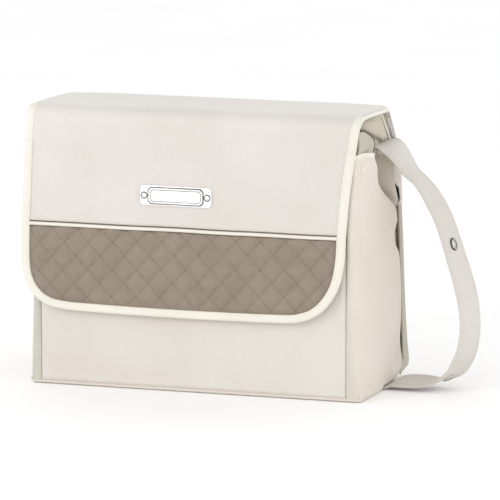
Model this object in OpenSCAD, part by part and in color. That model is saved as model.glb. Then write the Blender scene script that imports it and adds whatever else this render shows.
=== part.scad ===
// Changing bag with a fold-over flap: boxy leatherette body, quilted flap, looped shoulder strap.
// Millimetres. Origin: floor under the middle of the body width. +X viewer's right, -Y front, +Z up.

/* [Body] */
// outside width of the body
bag_width = 380; // [300:10:460]
// top of the mouth binding above the floor
rim_height = 302; // [240:2:360]
// outside face of the front panel, ahead of the origin
front_face = 80; // [60:2:100]
// outer leatherette thickness
skin = 1.8; // [1.6:0.2:3]
// lining cloth thickness
cloth = 0.8; // [0.6:0.1:1.2]
// stiffener board thickness
board = 1.6; // [1:0.5:3]
// width of the gusset edge that is turned onto the front
turned_edge = 10; // [6:1:14]
// height of the gusset's top edge, lower than the front and back
gusset_height = 262; // [220:2:290]

/* [Flap] */
// clear height between mouth binding and flap lining
flap_gap = 1.6; // [1:0.2:4]
// width of the flap edge binding
binding_width = 9; // [6:1:12]
// height of the piping above the floor
piping_height = 178; // [150:1:200]
// piping cord radius
piping_r = 1.8; // [1:0.2:3]

/* [Nameplate] */
// plate length
plate_length = 82; // [60:1:100]
// plate height
plate_height = 22; // [16:1:30]
// plate centre across the flap
plate_x = -17; // [-30:1:10]
// plate centre above the floor
plate_z = 215; // [200:1:230]

/* [Strap] */
// strap width
strap_width = 42; // [30:1:50]
// strap thickness
strap_thick = 3; // [2:0.5:5]
// height of the strap swing axis
anchor_height = 264; // [240:1:280]
// depth position of the strap swing axis
anchor_depth = 19; // [0:1:30]

/* [Fasteners] */
// snap ring radius on the strap
snap_r = 7; // [5:0.5:9]
// magnet disc radius
magnet_r = 9; // [6:1:12]
// gusset stud radius
stud_r = 4.5; // [3:0.5:6]

/* [Hidden] */

hw = bag_width / 2;
fy = -front_face;
back_foot = 76;      // outside of the back panel at its foot
back_foot_z = 22.4;
back_top = 44;       // outside of the back panel at its top
back_top_z = 298;
lean = atan((back_foot - back_top) / (back_top_z - back_foot_z));
function back_at(z) = back_foot + (back_top - back_foot) * (z - back_foot_z) / (back_top_z - back_foot_z);
back_len = sqrt(pow(back_foot - back_top, 2) + pow(back_top_z - back_foot_z, 2));

// underside of the base, front to back (depth, height): flat at the front, lifted over the strap at the rear
base_out = [[fy, 0], [1.6, 0], [2.4, 4], [24, 4], [48, 6.5], [66, 12], [76, 22]];
base_in = [[73.6, 22.6], [64.6, 13.8], [47.4, 8.8], [23.6, 6.2], [0.6, 6.2], [-0.2, 2.2], [fy, 2.2]];

// ---------- helpers ----------
module along_x(x0, x1) { translate([x0, 0, 0]) rotate([90, 0, 90]) linear_extrude(height = x1 - x0) children(); }
module along_y(y0, y1) { translate([0, y1, 0]) rotate([90, 0, 0]) linear_extrude(height = y1 - y0) children(); }
module box(a, b) { translate(a) cube([b[0] - a[0], b[1] - a[1], b[2] - a[2]]); }
// the plane of the leaning back panel: y is outwards, z runs up the panel
module on_back() { translate([0, back_foot, back_foot_z]) rotate([lean, 0, 0]) children(); }
module disc_y(x, y0, y1, z, r) { translate([x, y1, z]) rotate([90, 0, 0]) cylinder(h = y1 - y0, r = r, $fn = 48); }

function cr(a, b, c, d, t) = 0.5 * ((2 * b) + (c - a) * t + (2 * a - 5 * b + 4 * c - d) * t * t + (3 * b - a - 3 * c + d) * t * t * t);
function curve(p, n) = [for (i = [0 : len(p) - 2]) for (k = [0 : n - 1])
    cr(p[max(i - 1, 0)], p[i], p[i + 1], p[min(i + 2, len(p) - 1)], k / n), p[len(p) - 1]];
function unit(v) = v / norm(v);

// flap edge, from the top right corner round the bottom to the top left corner (across, height)
flap_edge = [[190, 301.5], [185, 268], [179, 226], [175, 184], [173, 152], [168, 127], [158, 108], [144, 94], [126, 86], [100, 83],
             [0, 82], [-100, 83], [-148, 85], [-170, 91], [-184, 103], [-193, 120], [-196, 142], [-196, 176], [-194, 216], [-192, 260], [-190, 301.5]];
flap_line = curve(flap_edge, 4);
function inset(p, d) = [for (i = [0 : len(p) - 1])
    let (a = p[max(i - 1, 0)], b = p[min(i + 1, len(p) - 1)], t = unit(b - a))
    i == 0 ? [p[i][0] - d, p[i][1]] : i == len(p) - 1 ? [p[i][0] + d, p[i][1]] : p[i] + d * [t[1], -t[0]]];
module flap_shape(d) polygon(inset(flap_line, d));
module band(z0, z1) translate([-260, z0]) square([520, z1 - z0]);

// ---------- body, outside ----------
module front_panel() color([0.92, 0.91, 0.88])
    box([-hw + turned_edge + 0.2, fy, 2.4], [hw - turned_edge - 0.2, fy + skin, 295.8]);

module back_panel() color([0.92, 0.91, 0.88])
    on_back() box([-hw + 2.4, -skin, 0.6], [hw - 2.4, 0, back_len - 2.4]);

module gusset_side() {
    along_x(hw - skin, hw) polygon(concat([[fy, gusset_height - 5]], base_out, [[back_at(gusset_height - 5), gusset_height - 5]]));
    box([hw - turned_edge, fy, 2.4], [hw - skin, fy + skin, gusset_height - 5]);
}
module gusset_right() color([0.90, 0.86, 0.82]) gusset_side();
module gusset_left() color([0.90, 0.86, 0.82]) mirror([1, 0, 0]) gusset_side();

module base_panel() color([0.90, 0.86, 0.82])
    along_x(-hw + 2.4, hw - 2.4) polygon(concat(base_out, base_in));

// ---------- body, inside ----------
module front_stiffener() color([0.6, 0.58, 0.52])
    box([-hw + 6, fy + skin + 0.2, 14], [hw - 6, fy + skin + 0.2 + board, 294]);
module back_stiffener() color([0.6, 0.58, 0.52])
    on_back() box([-hw + 6, -skin - 0.2 - board, 2], [hw - 6, -skin - 0.2, back_len - 6]);
module base_board() color([0.6, 0.58, 0.52])
    box([-hw + 6, fy + 7, 10], [hw - 6, 48, 13]);

module lining_front() color([0.72, 0.70, 0.66])
    box([-hw + 4.4, fy + 4.6, 14.2], [hw - 4.4, fy + 4.6 + cloth, 295.8]);
module lining_back() color([0.72, 0.70, 0.66])
    on_back() box([-hw + 4.4, -5.4, 1], [hw - 4.4, -5.4 + cloth, back_len - 3.4]);
module lining_side() {
    along_x(hw - 3.8, hw - 3.8 + cloth) polygon([[fy + 5.6, 10], [48, 10], [69, 22], [back_at(gusset_height - 5) - 6, gusset_height - 5], [fy + 5.6, gusset_height - 5]]);
}
module lining_right() color([0.72, 0.70, 0.66]) lining_side();
module lining_left() color([0.72, 0.70, 0.66]) mirror([1, 0, 0]) lining_side();
module lining_base() color([0.72, 0.70, 0.66])
    box([-hw + 6, fy + 7, 13.2], [hw - 6, 62, 13.2 + cloth]);
// soft wings that stand up from the side linings and close the gap under the flap: a short one in front of a long one
module side_wing() {
    along_x(hw - 9, hw - 7.8) polygon([[fy + 8, 236], [fy + 8, 287], [-64, 289], [-52, 288], [-42, 284], [-33, 276], [-28, 266], [-26, 254], [-26, 236]]);
    along_x(hw - 10.4, hw - 9.2) polygon([[fy + 8, 236], [fy + 8, 293], [back_at(293) - 8, 293], [back_at(236) - 8, 236]]);
    box([hw - 10.4, fy + 8, 232], [hw - 4, -6, 236]);
}
module side_wing_right() color([0.74, 0.72, 0.66]) side_wing();
module side_wing_left() color([0.74, 0.72, 0.66]) mirror([1, 0, 0]) side_wing();

module mouth_binding() color([0.93, 0.92, 0.89]) {
    box([-hw + 8, fy - 0.4, 296], [hw - 8, fy + 5.8, rim_height]);
    box([-hw + 2, back_top - 6, 296], [hw - 2, back_top + 0.6, rim_height]);
}
module gusset_binding() color([0.93, 0.92, 0.89]) for (s = [0, 1]) mirror([s, 0, 0])
    box([hw - 4.2, fy, gusset_height - 4.8], [hw + 0.4, back_at(gusset_height) - 3, gusset_height]);

module tray(x, y0, y1, z0, z1, t) difference() {
    box([-x, y0, z0], [x, y1, z1]);
    box([-x + t, y0 - 1, z0 + t], [x - t, y1 - t, z1 + 1]);
}
module back_pocket() color([0.90, 0.86, 0.82])
    on_back() tray(hw - 2.5, 0.2, 12.2, 2, 192, 2);
module back_pocket_binding() color([0.93, 0.92, 0.89])
    on_back() box([-hw + 2.5, 9.6, 192.2], [hw - 2.5, 12.8, 200]);

module inner_pocket() color([0.66, 0.64, 0.60])
    on_back() mirror([0, 1, 0]) tray(120, 5.6, 22, 22, 150, 1);
module inner_pocket_elastic() color([0.55, 0.53, 0.50])
    on_back() box([-120, -22.4, 150.2], [120, -20.2, 160]);

module body_magnets() color([0.8, 0.8, 0.8]) for (x = [-118, 96])
    difference() {
        disc_y(x, fy - 2, fy, 112, magnet_r);
        disc_y(x, fy - 2.5, fy - 0.8, 112, 3);
    }
module gusset_snaps() color([0.85, 0.85, 0.85]) for (s = [0, 1]) mirror([s, 0, 0]) {
    translate([hw, -58, 251.5]) rotate([0, 90, 0]) cylinder(h = 1.2, r = stud_r, $fn = 40);
    translate([hw + 1.2, -58, 251.5]) rotate([0, 90, 0]) cylinder(h = 1.2, r = 2.4, $fn = 40);
}

// strap end sewn to the inside of the gusset and turned over its top edge
module anchor_tab() {
    z = gusset_height;
    along_y(anchor_depth - strap_width / 2, anchor_depth + strap_width / 2) polygon([
        [hw - 7.2, z - 40], [hw - 4.4, z - 40], [hw - 4.4, z + 0.3], [hw + 2.2, z + 0.3], [hw + 2.2, z + 3.3], [hw - 5.6, z + 3.3], [hw - 7.2, z + 1.7]]);
}
module strap_anchor_right() color([0.90, 0.89, 0.86]) anchor_tab();
module strap_anchor_left() color([0.90, 0.89, 0.86]) mirror([1, 0, 0]) anchor_tab();

module hinge_fold() color([0.92, 0.91, 0.88])
    box([-hw + 8, back_top + 2.2, 284], [hw - 8, back_top + 4.4, 303]);

// ---------- flap, top part ----------
tz = rim_height + flap_gap;
module flap_top_lining() color([0.72, 0.70, 0.66])
    box([-hw + 8.4, fy - 1, tz], [hw - 8.4, back_top - 1, tz + cloth]);
module flap_top_stiffener() color([0.6, 0.58, 0.52])
    box([-hw + 8.4, fy, tz + 1], [hw - 8.4, back_top - 2, tz + 1 + board - 0.4]);
module flap_top_panel() color([0.92, 0.91, 0.88])
    box([-hw + 8.4, fy - 2, tz + 2.8], [hw - 8.4, back_top + 1, tz + 2.8 + skin]);
module flap_top_binding() color([0.93, 0.92, 0.89]) for (s = [0, 1]) mirror([s, 0, 0])
    box([hw - 8.2, fy - 1, tz - 0.2], [hw + 0.4, back_top + 1, tz + 5.4]);

// ---------- flap, front part ----------
module flap_front_lining() color([0.72, 0.70, 0.66])
    along_y(fy - 5, fy - 4.2) intersection() { flap_shape(binding_width + 0.2); band(60, 301); }
module flap_stiffener() color([0.6, 0.58, 0.52])
    along_y(fy - 7, fy - 5.2) intersection() { flap_shape(binding_width + 2); band(60, 300); }
module flap_front_panel() color([0.92, 0.91, 0.88])
    along_y(fy - 9.4, fy - 7.2) intersection() { flap_shape(binding_width + 0.2); band(piping_height + 2, 301.4); }
module flap_quilted_panel() color([0.62, 0.57, 0.51])
    along_y(fy - 12, fy - 7.2) intersection() { flap_shape(binding_width + 0.2); band(60, piping_height - 2); }
module flap_piping() color([0.93, 0.92, 0.89])
    translate([-186.4, fy - 9.6, piping_height]) rotate([0, 90, 0]) cylinder(h = 351, r = piping_r, $fn = 32);
module flap_front_binding() color([0.93, 0.92, 0.89])
    along_y(fy - 11.6, fy - 4) difference() {
        intersection() { flap_shape(0); band(60, 301); }
        flap_shape(binding_width);
    }
module flap_magnets() color([0.8, 0.8, 0.8]) for (x = [-118, 96]) {
    disc_y(x, fy - 4, fy - 2.3, 112, magnet_r);
    disc_y(x, fy - 2.4, fy - 1.2, 112, 2.4);
}

plate_back = fy - 9.6;
module nameplate() color([0.85, 0.85, 0.86]) difference() {
    union() {
        along_y(plate_back - 1.6, plate_back) translate([plate_x, plate_z]) polygon([
            [-41, -8], [-38, -11], [38, -11], [41, -8], [41, 8], [38, 11], [-38, 11], [-41, 8]]);
        along_y(plate_back - 2.6, plate_back - 1.5) translate([plate_x, plate_z]) difference() {
            polygon([[-31, -5.5], [-28, -8.5], [28, -8.5], [31, -5.5], [31, 5.5], [28, 8.5], [-28, 8.5], [-31, 5.5]]);
            polygon([[-28.6, -4.6], [-26.8, -6.4], [26.8, -6.4], [28.6, -4.6], [28.6, 4.6], [26.8, 6.4], [-26.8, 6.4], [-28.6, 4.6]]);
        }
    }
    for (s = [-1, 1]) disc_y(plate_x + s * 36, plate_back - 5, plate_back + 5, plate_z, 1.6);
}
module nameplate_rivets() color([0.8, 0.8, 0.8]) for (s = [-1, 1]) {
    disc_y(plate_x + s * 36, plate_back - 1.8, plate_back, plate_z, 1.5);
    disc_y(plate_x + s * 36, plate_back - 2.6, plate_back - 1.7, plate_z, 2.8);
}

// ---------- shoulder strap ----------
// route of the strap's middle line: across, depth, height, twist in degrees
route = [[194, 19, 264, 20], [197.6, 19, 263.2, 17], [203.6, 20, 253.5, 10.4], [212.3, 21, 238.7, 5.6], [224.1, 23, 227.1, 3.8], [236.1, 26, 209.8, 8.4], [248.6, 28, 185.2, 9.5], [261.8, 30, 145.4, 12], [273.3, 31, 106.2, 14.3], [277.7, 31, 73.8, 14], [275.1, 30, 46.4, 16], [268, 28, 28.1, 17], [259.3, 26, 17.4, 13], [243.7, 24, 9.8, 1], [227.7, 23, 8.2, -8], [209, 23, 7.6, -9], [201, 24, 7, -6], [196.4, 24.5, 5.5, -3], [192.8, 24.5, 3.3, -0.5], [189.4, 24.5, 2.0, 0], [185, 24.5, 1.65, 0], [150, 24.5, 1.55, 0], [60, 24.8, 1.5, 0], [-60, 25, 1.5, 0], [-150, 25, 1.5, 0], [-180, 25, 1.5, 0], [-187, 25, 1.5, 0], [-192, 25, 2.7, 0], [-194.4, 25, 6.5, 0], [-194.8, 25, 12, 0],
         [-194.8, 24.5, 40, 0], [-194.8, 22, 140, 0], [-194.8, 19, 264, 0]];
path = curve(route, 3);
function xyz(p) = [p[0], p[1], p[2]];
function tang(i) = unit(xyz(path[min(i + 1, len(path) - 1)]) - xyz(path[max(i - 1, 0)]));
function across(i) = let (t = tang(i), a = path[i][3], w0 = [0, -1, 0], w = unit(w0 - (w0 * t) * t), n = cross(t, w))
    cos(a) * w + sin(a) * n;
function outward(i) = cross(across(i), tang(i));
sec = [[-0.5, -0.25], [-0.48, -0.5], [0.48, -0.5], [0.5, -0.25], [0.5, 0.25], [0.48, 0.5], [-0.48, 0.5], [-0.5, 0.25]];
module shoulder_strap() color([0.91, 0.89, 0.85]) {
    m = len(sec);
    n = len(path);
    pts = [for (i = [0 : n - 1]) for (s = sec) xyz(path[i]) + s[0] * strap_width * across(i) + s[1] * strap_thick * outward(i)];
    sides = [for (i = [0 : n - 2]) for (k = [0 : m - 1])
        let (a = i * m + k, b = i * m + (k + 1) % m, c = (i + 1) * m + (k + 1) % m, d = (i + 1) * m + k)
        each [[a, d, b], [b, d, c]]];
    polyhedron(points = pts, faces = concat(sides, [[for (k = [0 : m - 1]) k]], [[for (k = [0 : m - 1]) (n - 1) * m + m - 1 - k]]), convexity = 10);
}

// stands children on the strap's outer (or inner) face at path point i
module on_strap(i, side, gap) {
    o = side * outward(i);
    p = xyz(path[i]) + (strap_thick / 2 + gap) * o;
    translate(p) rotate([0, acos(o[2]), atan2(o[1], o[0])]) children();
}
snap_at = [20, 37];
module ring_cap() difference() {
    cylinder(h = 2, r1 = snap_r, r2 = snap_r - 0.8, $fn = 40);
    translate([0, 0, 1]) cylinder(h = 2, r = snap_r - 2.6, $fn = 40);
}
module strap_snap_caps() color([0.85, 0.85, 0.85]) for (i = snap_at) on_strap(i, 1, i == 20 ? 0.5 : 1.6) ring_cap();
module strap_snap_sockets() color([0.85, 0.85, 0.85]) for (i = snap_at) on_strap(i, -1, i == 20 ? 0.6 : 2.4) {
    cylinder(h = 1.4, r = snap_r - 0.5, $fn = 40);
    translate([0, 0, 1.3]) cylinder(h = 1.4, r = 3, $fn = 40);
}

front_panel();
back_panel();
gusset_left();
gusset_right();
base_panel();
front_stiffener();
back_stiffener();
base_board();
lining_front();
lining_back();
lining_left();
lining_right();
lining_base();
side_wing_left();
side_wing_right();
mouth_binding();
gusset_binding();
back_pocket();
back_pocket_binding();
inner_pocket();
inner_pocket_elastic();
body_magnets();
gusset_snaps();
strap_anchor_left();
strap_anchor_right();
hinge_fold();
flap_top_panel();
flap_top_stiffener();
flap_top_lining();
flap_top_binding();
flap_front_panel();
flap_quilted_panel();
flap_piping();
flap_front_binding();
flap_front_lining();
flap_stiffener();
flap_magnets();
nameplate();
nameplate_rivets();
shoulder_strap();
strap_snap_caps();
strap_snap_sockets();
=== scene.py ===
import bpy, math
import numpy as np
from mathutils import Vector, Matrix


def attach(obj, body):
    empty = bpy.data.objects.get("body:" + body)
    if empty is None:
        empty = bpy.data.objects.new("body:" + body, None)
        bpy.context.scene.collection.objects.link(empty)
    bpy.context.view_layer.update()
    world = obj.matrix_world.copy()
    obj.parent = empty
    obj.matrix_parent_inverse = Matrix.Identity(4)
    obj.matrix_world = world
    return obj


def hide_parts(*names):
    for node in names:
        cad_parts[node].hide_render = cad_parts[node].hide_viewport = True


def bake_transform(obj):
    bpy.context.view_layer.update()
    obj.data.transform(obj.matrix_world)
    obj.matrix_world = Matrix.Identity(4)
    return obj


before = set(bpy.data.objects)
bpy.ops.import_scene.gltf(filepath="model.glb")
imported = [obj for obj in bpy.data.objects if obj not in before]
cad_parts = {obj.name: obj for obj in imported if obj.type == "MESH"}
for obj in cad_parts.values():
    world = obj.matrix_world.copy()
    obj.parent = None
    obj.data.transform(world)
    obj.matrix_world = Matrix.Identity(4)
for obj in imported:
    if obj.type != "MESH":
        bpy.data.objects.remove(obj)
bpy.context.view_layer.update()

MM = 0.001

# ------------------------------------------------------------------ camera
AZ, EL, DIST, FPX, TX, TZ = 19.294, 8.844, 5.3574, 4911.0, 0.03585, 0.14629
a, e = math.radians(AZ), math.radians(EL)
back = Vector((math.sin(a) * math.cos(e), -math.cos(a) * math.cos(e), math.sin(e)))
cam_data = bpy.data.cameras.new("camera")
cam = bpy.data.objects.new("camera", cam_data)
bpy.context.collection.objects.link(cam)
cam_data.sensor_width = 36
cam_data.lens = 36 * FPX / 500
cam.location = Vector((TX, 0, TZ)) + back * DIST
cam.rotation_mode = "QUATERNION"
cam.rotation_quaternion = (-back).to_track_quat("-Z", "Y")
cam_data.clip_start, cam_data.clip_end = 0.05, 60
bpy.context.scene.camera = cam


# ------------------------------------------------------------------ small maths
def smooth(x, lo, hi):
    t = np.clip((np.asarray(x, float) - lo) / (hi - lo), 0, 1)
    return t * t * (3 - 2 * t)


def lerp_table(x, xs, ys):
    return np.interp(x, xs, ys)


def wob(p, q, k, seed=0.0):
    """A gentle fixed ripple over two coordinates in mm, between about -1 and 1; k is its wavelength."""
    s = 2 * math.pi / k
    return (np.sin(p * s * 0.83 + seed) * np.cos(q * s * 0.71 + 1.7 * seed) + 0.6 * np.sin((p + q) * s * 0.53 + 2.3 * seed + 0.8)
            + 0.4 * np.sin((p - 1.4 * q) * s * 0.97 + 0.6 * seed)) / 2.0


def cr(a, b, c, d, t):
    return 0.5 * ((2 * b) + (c - a) * t + (2 * a - 5 * b + 4 * c - d) * t * t + (3 * b - a - 3 * c + d) * t ** 3)


def curve(pts, n):
    P = [np.array(p, float) for p in pts]
    out = []
    for i in range(len(P) - 1):
        for k in range(n):
            out.append(cr(P[max(i - 1, 0)], P[i], P[i + 1], P[min(i + 2, len(P) - 1)], k / n))
    out.append(P[-1])
    return np.array(out)


def resample(P, step=None, count=None):
    P = np.asarray(P, float)
    d = np.concatenate([[0], np.cumsum(np.linalg.norm(np.diff(P, axis=0), axis=1))])
    n = count or max(2, int(round(d[-1] / step)) + 1)
    t = np.linspace(0, d[-1], n)
    return np.stack([np.interp(t, d, P[:, k]) for k in range(P.shape[1])], 1)


def unit(v):
    v = np.asarray(v, float)
    return v / np.maximum(np.linalg.norm(v, axis=-1, keepdims=True), 1e-9)


# ------------------------------------------------------------------ materials
def new_mat(name):
    m = bpy.data.materials.new(name)
    m.use_nodes = True
    nt = m.node_tree
    return m, nt, nt.nodes["Principled BSDF"]


def N(nt, kind, **kw):
    n = nt.nodes.new(kind)
    for k, v in kw.items():
        if k in n.inputs:
            n.inputs[k].default_value = v
        else:
            setattr(n, k, v)
    return n


def ramp(nt, src, stops):
    r = nt.nodes.new("ShaderNodeValToRGB")
    nt.links.new(src, r.inputs["Fac"])
    cr_ = r.color_ramp
    while len(cr_.elements) < len(stops):
        cr_.elements.new(0.5)
    for el_, (p, c) in zip(cr_.elements, stops):
        el_.position = p
        el_.color = (*c, 1) if len(c) == 3 else c
    return r


def srgb(r, g, b):
    def f(c):
        c = c / 255
        return c / 12.92 if c <= 0.04045 else ((c + 0.055) / 1.055) ** 2.4
    return (f(r), f(g), f(b))


def leather(name, c0, c1, rough=(0.42, 0.56), cell=900.0, bump=0.35, coat=0.0, sheen=0.08):
    m, nt, b = new_mat(name)
    tc = N(nt, "ShaderNodeTexCoord")
    big = N(nt, "ShaderNodeTexNoise", Scale=9.0, Detail=4.0, Roughness=0.55)
    nt.links.new(tc.outputs["Object"], big.inputs["Vector"])
    fine = N(nt, "ShaderNodeTexNoise", Scale=420.0, Detail=3.0, Roughness=0.6)
    nt.links.new(tc.outputs["Object"], fine.inputs["Vector"])
    warp = N(nt, "ShaderNodeVectorMath", operation="MULTIPLY_ADD")
    nt.links.new(fine.outputs["Color"], warp.inputs[0])
    warp.inputs[1].default_value = (0.0006, 0.0006, 0.0006)
    nt.links.new(tc.outputs["Object"], warp.inputs[2])
    vor = N(nt, "ShaderNodeTexVoronoi", feature="DISTANCE_TO_EDGE", Scale=cell)
    nt.links.new(warp.outputs[0], vor.inputs["Vector"])
    crease = ramp(nt, vor.outputs["Distance"], [(0.0, (0, 0, 0)), (0.22, (0.75, 0.75, 0.75)), (0.6, (1, 1, 1))])
    col = ramp(nt, big.outputs["Fac"], [(0.30, c1), (0.68, c0)])
    dark = N(nt, "ShaderNodeMix", data_type="RGBA", blend_type="MULTIPLY")
    dark.inputs["Factor"].default_value = 0.10
    nt.links.new(col.outputs["Color"], dark.inputs["A"])
    nt.links.new(crease.outputs["Color"], dark.inputs["B"])
    nt.links.new(dark.outputs["Result"], b.inputs["Base Color"])
    rr = N(nt, "ShaderNodeMapRange", **{"To Min": rough[0], "To Max": rough[1]})
    mixn = N(nt, "ShaderNodeMath", operation="MULTIPLY_ADD")
    nt.links.new(fine.outputs["Fac"], mixn.inputs[0])
    mixn.inputs[1].default_value = 0.5
    half = N(nt, "ShaderNodeMath", operation="MULTIPLY")
    nt.links.new(big.outputs["Fac"], half.inputs[0])
    half.inputs[1].default_value = 0.5
    nt.links.new(half.outputs[0], mixn.inputs[2])
    nt.links.new(mixn.outputs[0], rr.inputs["Value"])
    nt.links.new(rr.outputs["Result"], b.inputs["Roughness"])
    h = N(nt, "ShaderNodeMath", operation="MULTIPLY_ADD")
    nt.links.new(fine.outputs["Fac"], h.inputs[0])
    h.inputs[1].default_value = 0.5
    nt.links.new(crease.outputs["Color"], h.inputs[2])
    bp = N(nt, "ShaderNodeBump", Strength=bump, Distance=0.0002)
    nt.links.new(h.outputs[0], bp.inputs["Height"])
    nt.links.new(bp.outputs["Normal"], b.inputs["Normal"])
    b.inputs["Sheen Weight"].default_value = sheen
    b.inputs["Specular IOR Level"].default_value = 0.42
    b.inputs["Coat Weight"].default_value = coat
    b.inputs["Coat Roughness"].default_value = 0.35
    return m


def cloth(name, c0, c1, pitch=0.0007, rough=(0.78, 0.92), sheen=0.35, bump=0.5, diag=True, mottle=38.0, deep=True):
    """A woven cloth: two crossed sets of threads, in the row's X, Z and Y."""
    m, nt, b = new_mat(name)
    tc = N(nt, "ShaderNodeTexCoord")
    mp = N(nt, "ShaderNodeMapping")
    if diag:
        mp.inputs["Rotation"].default_value = (0.0, math.radians(45), 0.0)
    nt.links.new(tc.outputs["Object"], mp.inputs["Vector"])
    s = 1.0 / pitch
    w1 = N(nt, "ShaderNodeTexWave", wave_type="BANDS", bands_direction="X", Scale=s / 3.14, Distortion=1.2, Detail=1.0)
    w1.inputs["Detail Scale"].default_value = 2.0
    w2 = N(nt, "ShaderNodeTexWave", wave_type="BANDS", bands_direction="Z", Scale=s / 3.14, Distortion=1.2, Detail=1.0)
    w2.inputs["Detail Scale"].default_value = 2.0
    w3 = N(nt, "ShaderNodeTexWave", wave_type="BANDS", bands_direction="Y", Scale=s / 3.14, Distortion=1.0)
    for w in (w1, w2, w3):
        nt.links.new(mp.outputs["Vector"], w.inputs["Vector"])
    mul = N(nt, "ShaderNodeMath", operation="ADD")
    nt.links.new(w1.outputs["Fac"], mul.inputs[0])
    nt.links.new(w2.outputs["Fac"], mul.inputs[1])
    mul2 = N(nt, "ShaderNodeMath", operation="ADD")
    nt.links.new(mul.outputs[0], mul2.inputs[0])
    if deep:
        nt.links.new(w3.outputs["Fac"], mul2.inputs[1])
    else:
        mul2.inputs[1].default_value = 0.5
    wv = N(nt, "ShaderNodeMath", operation="MULTIPLY")
    nt.links.new(mul2.outputs[0], wv.inputs[0])
    wv.inputs[1].default_value = 0.3333
    big = N(nt, "ShaderNodeTexNoise", Scale=mottle, Detail=5.0, Roughness=0.6)
    nt.links.new(tc.outputs["Object"], big.inputs["Vector"])
    f = N(nt, "ShaderNodeMath", operation="MULTIPLY_ADD")
    nt.links.new(wv.outputs[0], f.inputs[0])
    f.inputs[1].default_value = 0.45
    h2 = N(nt, "ShaderNodeMath", operation="MULTIPLY")
    nt.links.new(big.outputs["Fac"], h2.inputs[0])
    h2.inputs[1].default_value = 0.55
    nt.links.new(h2.outputs[0], f.inputs[2])
    col = ramp(nt, f.outputs[0], [(0.28, c1), (0.66, c0)])
    nt.links.new(col.outputs["Color"], b.inputs["Base Color"])
    rr = N(nt, "ShaderNodeMapRange", **{"To Min": rough[0], "To Max": rough[1]})
    nt.links.new(f.outputs[0], rr.inputs["Value"])
    nt.links.new(rr.outputs["Result"], b.inputs["Roughness"])
    bp = N(nt, "ShaderNodeBump", Strength=bump, Distance=0.0002)
    nt.links.new(wv.outputs[0], bp.inputs["Height"])
    nt.links.new(bp.outputs["Normal"], b.inputs["Normal"])
    b.inputs["Sheen Weight"].default_value = sheen
    b.inputs["Sheen Roughness"].default_value = 0.5
    b.inputs["Specular IOR Level"].default_value = 0.25
    return m


def metal(name, c0, c1, rough=(0.10, 0.24), streak=(60, 900, 900)):
    m, nt, b = new_mat(name)
    tc = N(nt, "ShaderNodeTexCoord")
    mp = N(nt, "ShaderNodeMapping")
    mp.inputs["Scale"].default_value = streak
    nt.links.new(tc.outputs["Object"], mp.inputs["Vector"])
    n1 = N(nt, "ShaderNodeTexNoise", Scale=1.0, Detail=3.0)
    nt.links.new(mp.outputs["Vector"], n1.inputs["Vector"])
    n2 = N(nt, "ShaderNodeTexNoise", Scale=35.0, Detail=3.0)
    nt.links.new(tc.outputs["Object"], n2.inputs["Vector"])
    add = N(nt, "ShaderNodeMath", operation="MULTIPLY_ADD")
    nt.links.new(n1.outputs["Fac"], add.inputs[0])
    add.inputs[1].default_value = 0.5
    hh = N(nt, "ShaderNodeMath", operation="MULTIPLY")
    nt.links.new(n2.outputs["Fac"], hh.inputs[0])
    hh.inputs[1].default_value = 0.5
    nt.links.new(hh.outputs[0], add.inputs[2])
    col = ramp(nt, add.outputs[0], [(0.3, c1), (0.7, c0)])
    nt.links.new(col.outputs["Color"], b.inputs["Base Color"])
    rr = N(nt, "ShaderNodeMapRange", **{"To Min": rough[0], "To Max": rough[1]})
    nt.links.new(add.outputs[0], rr.inputs["Value"])
    nt.links.new(rr.outputs["Result"], b.inputs["Roughness"])
    bp = N(nt, "ShaderNodeBump", Strength=0.06, Distance=0.0001)
    nt.links.new(n1.outputs["Fac"], bp.inputs["Height"])
    nt.links.new(bp.outputs["Normal"], b.inputs["Normal"])
    b.inputs["Metallic"].default_value = 1.0
    return m


IVORY = leather("ivory_leatherette", srgb(218, 213, 207), srgb(211, 205, 198))
FRONTM = leather("ivory_leatherette_front", srgb(219, 213, 206), srgb(212, 205, 197))
# a copy of the same ivory leatherette, tinted warmer as painted shading for how the light falls on the sides; used on
# the base and the back pocket
IVORY_SIDE_SHADE = leather("ivory_leatherette_side_shade", srgb(224, 216, 206), srgb(218, 208, 196))
BIND = leather("binding_leatherette", srgb(233, 229, 219), srgb(226, 221, 209), rough=(0.38, 0.5), cell=1100, bump=0.25, coat=0.05)
STRAPM = leather("strap_leatherette", srgb(213, 208, 201), srgb(204, 198, 190))
# painted shadow: near black with no specular, for the inside of the gusset's slit
SLIT_SHADOW = cloth("slit_shadow_cloth", srgb(34, 31, 24), srgb(18, 16, 12), pitch=0.0008, sheen=0.0, bump=0.2)
SLIT_SHADOW.node_tree.nodes["Principled BSDF"].inputs["Specular IOR Level"].default_value = 0.0
# painted shade: a darker olive copy of the leatherette for the back pocket's end walls, which sit in shade
POCKET_END_SHADE = leather("pocket_end_painted_shade", srgb(196, 193, 176), srgb(180, 176, 158))
QUILT = cloth("taupe_quilt_cloth", srgb(149, 136, 123), srgb(129, 116, 104), pitch=0.0011, sheen=0.25, bump=0.35, deep=False)
LINING = cloth("lining_cloth", srgb(196, 190, 176), srgb(172, 166, 152), pitch=0.0009, sheen=0.25, bump=0.4, mottle=20)
WINGM = cloth("wing_cloth", srgb(212, 203, 189), srgb(190, 180, 165), pitch=0.0009, sheen=0.2, bump=0.3, mottle=16)
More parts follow.
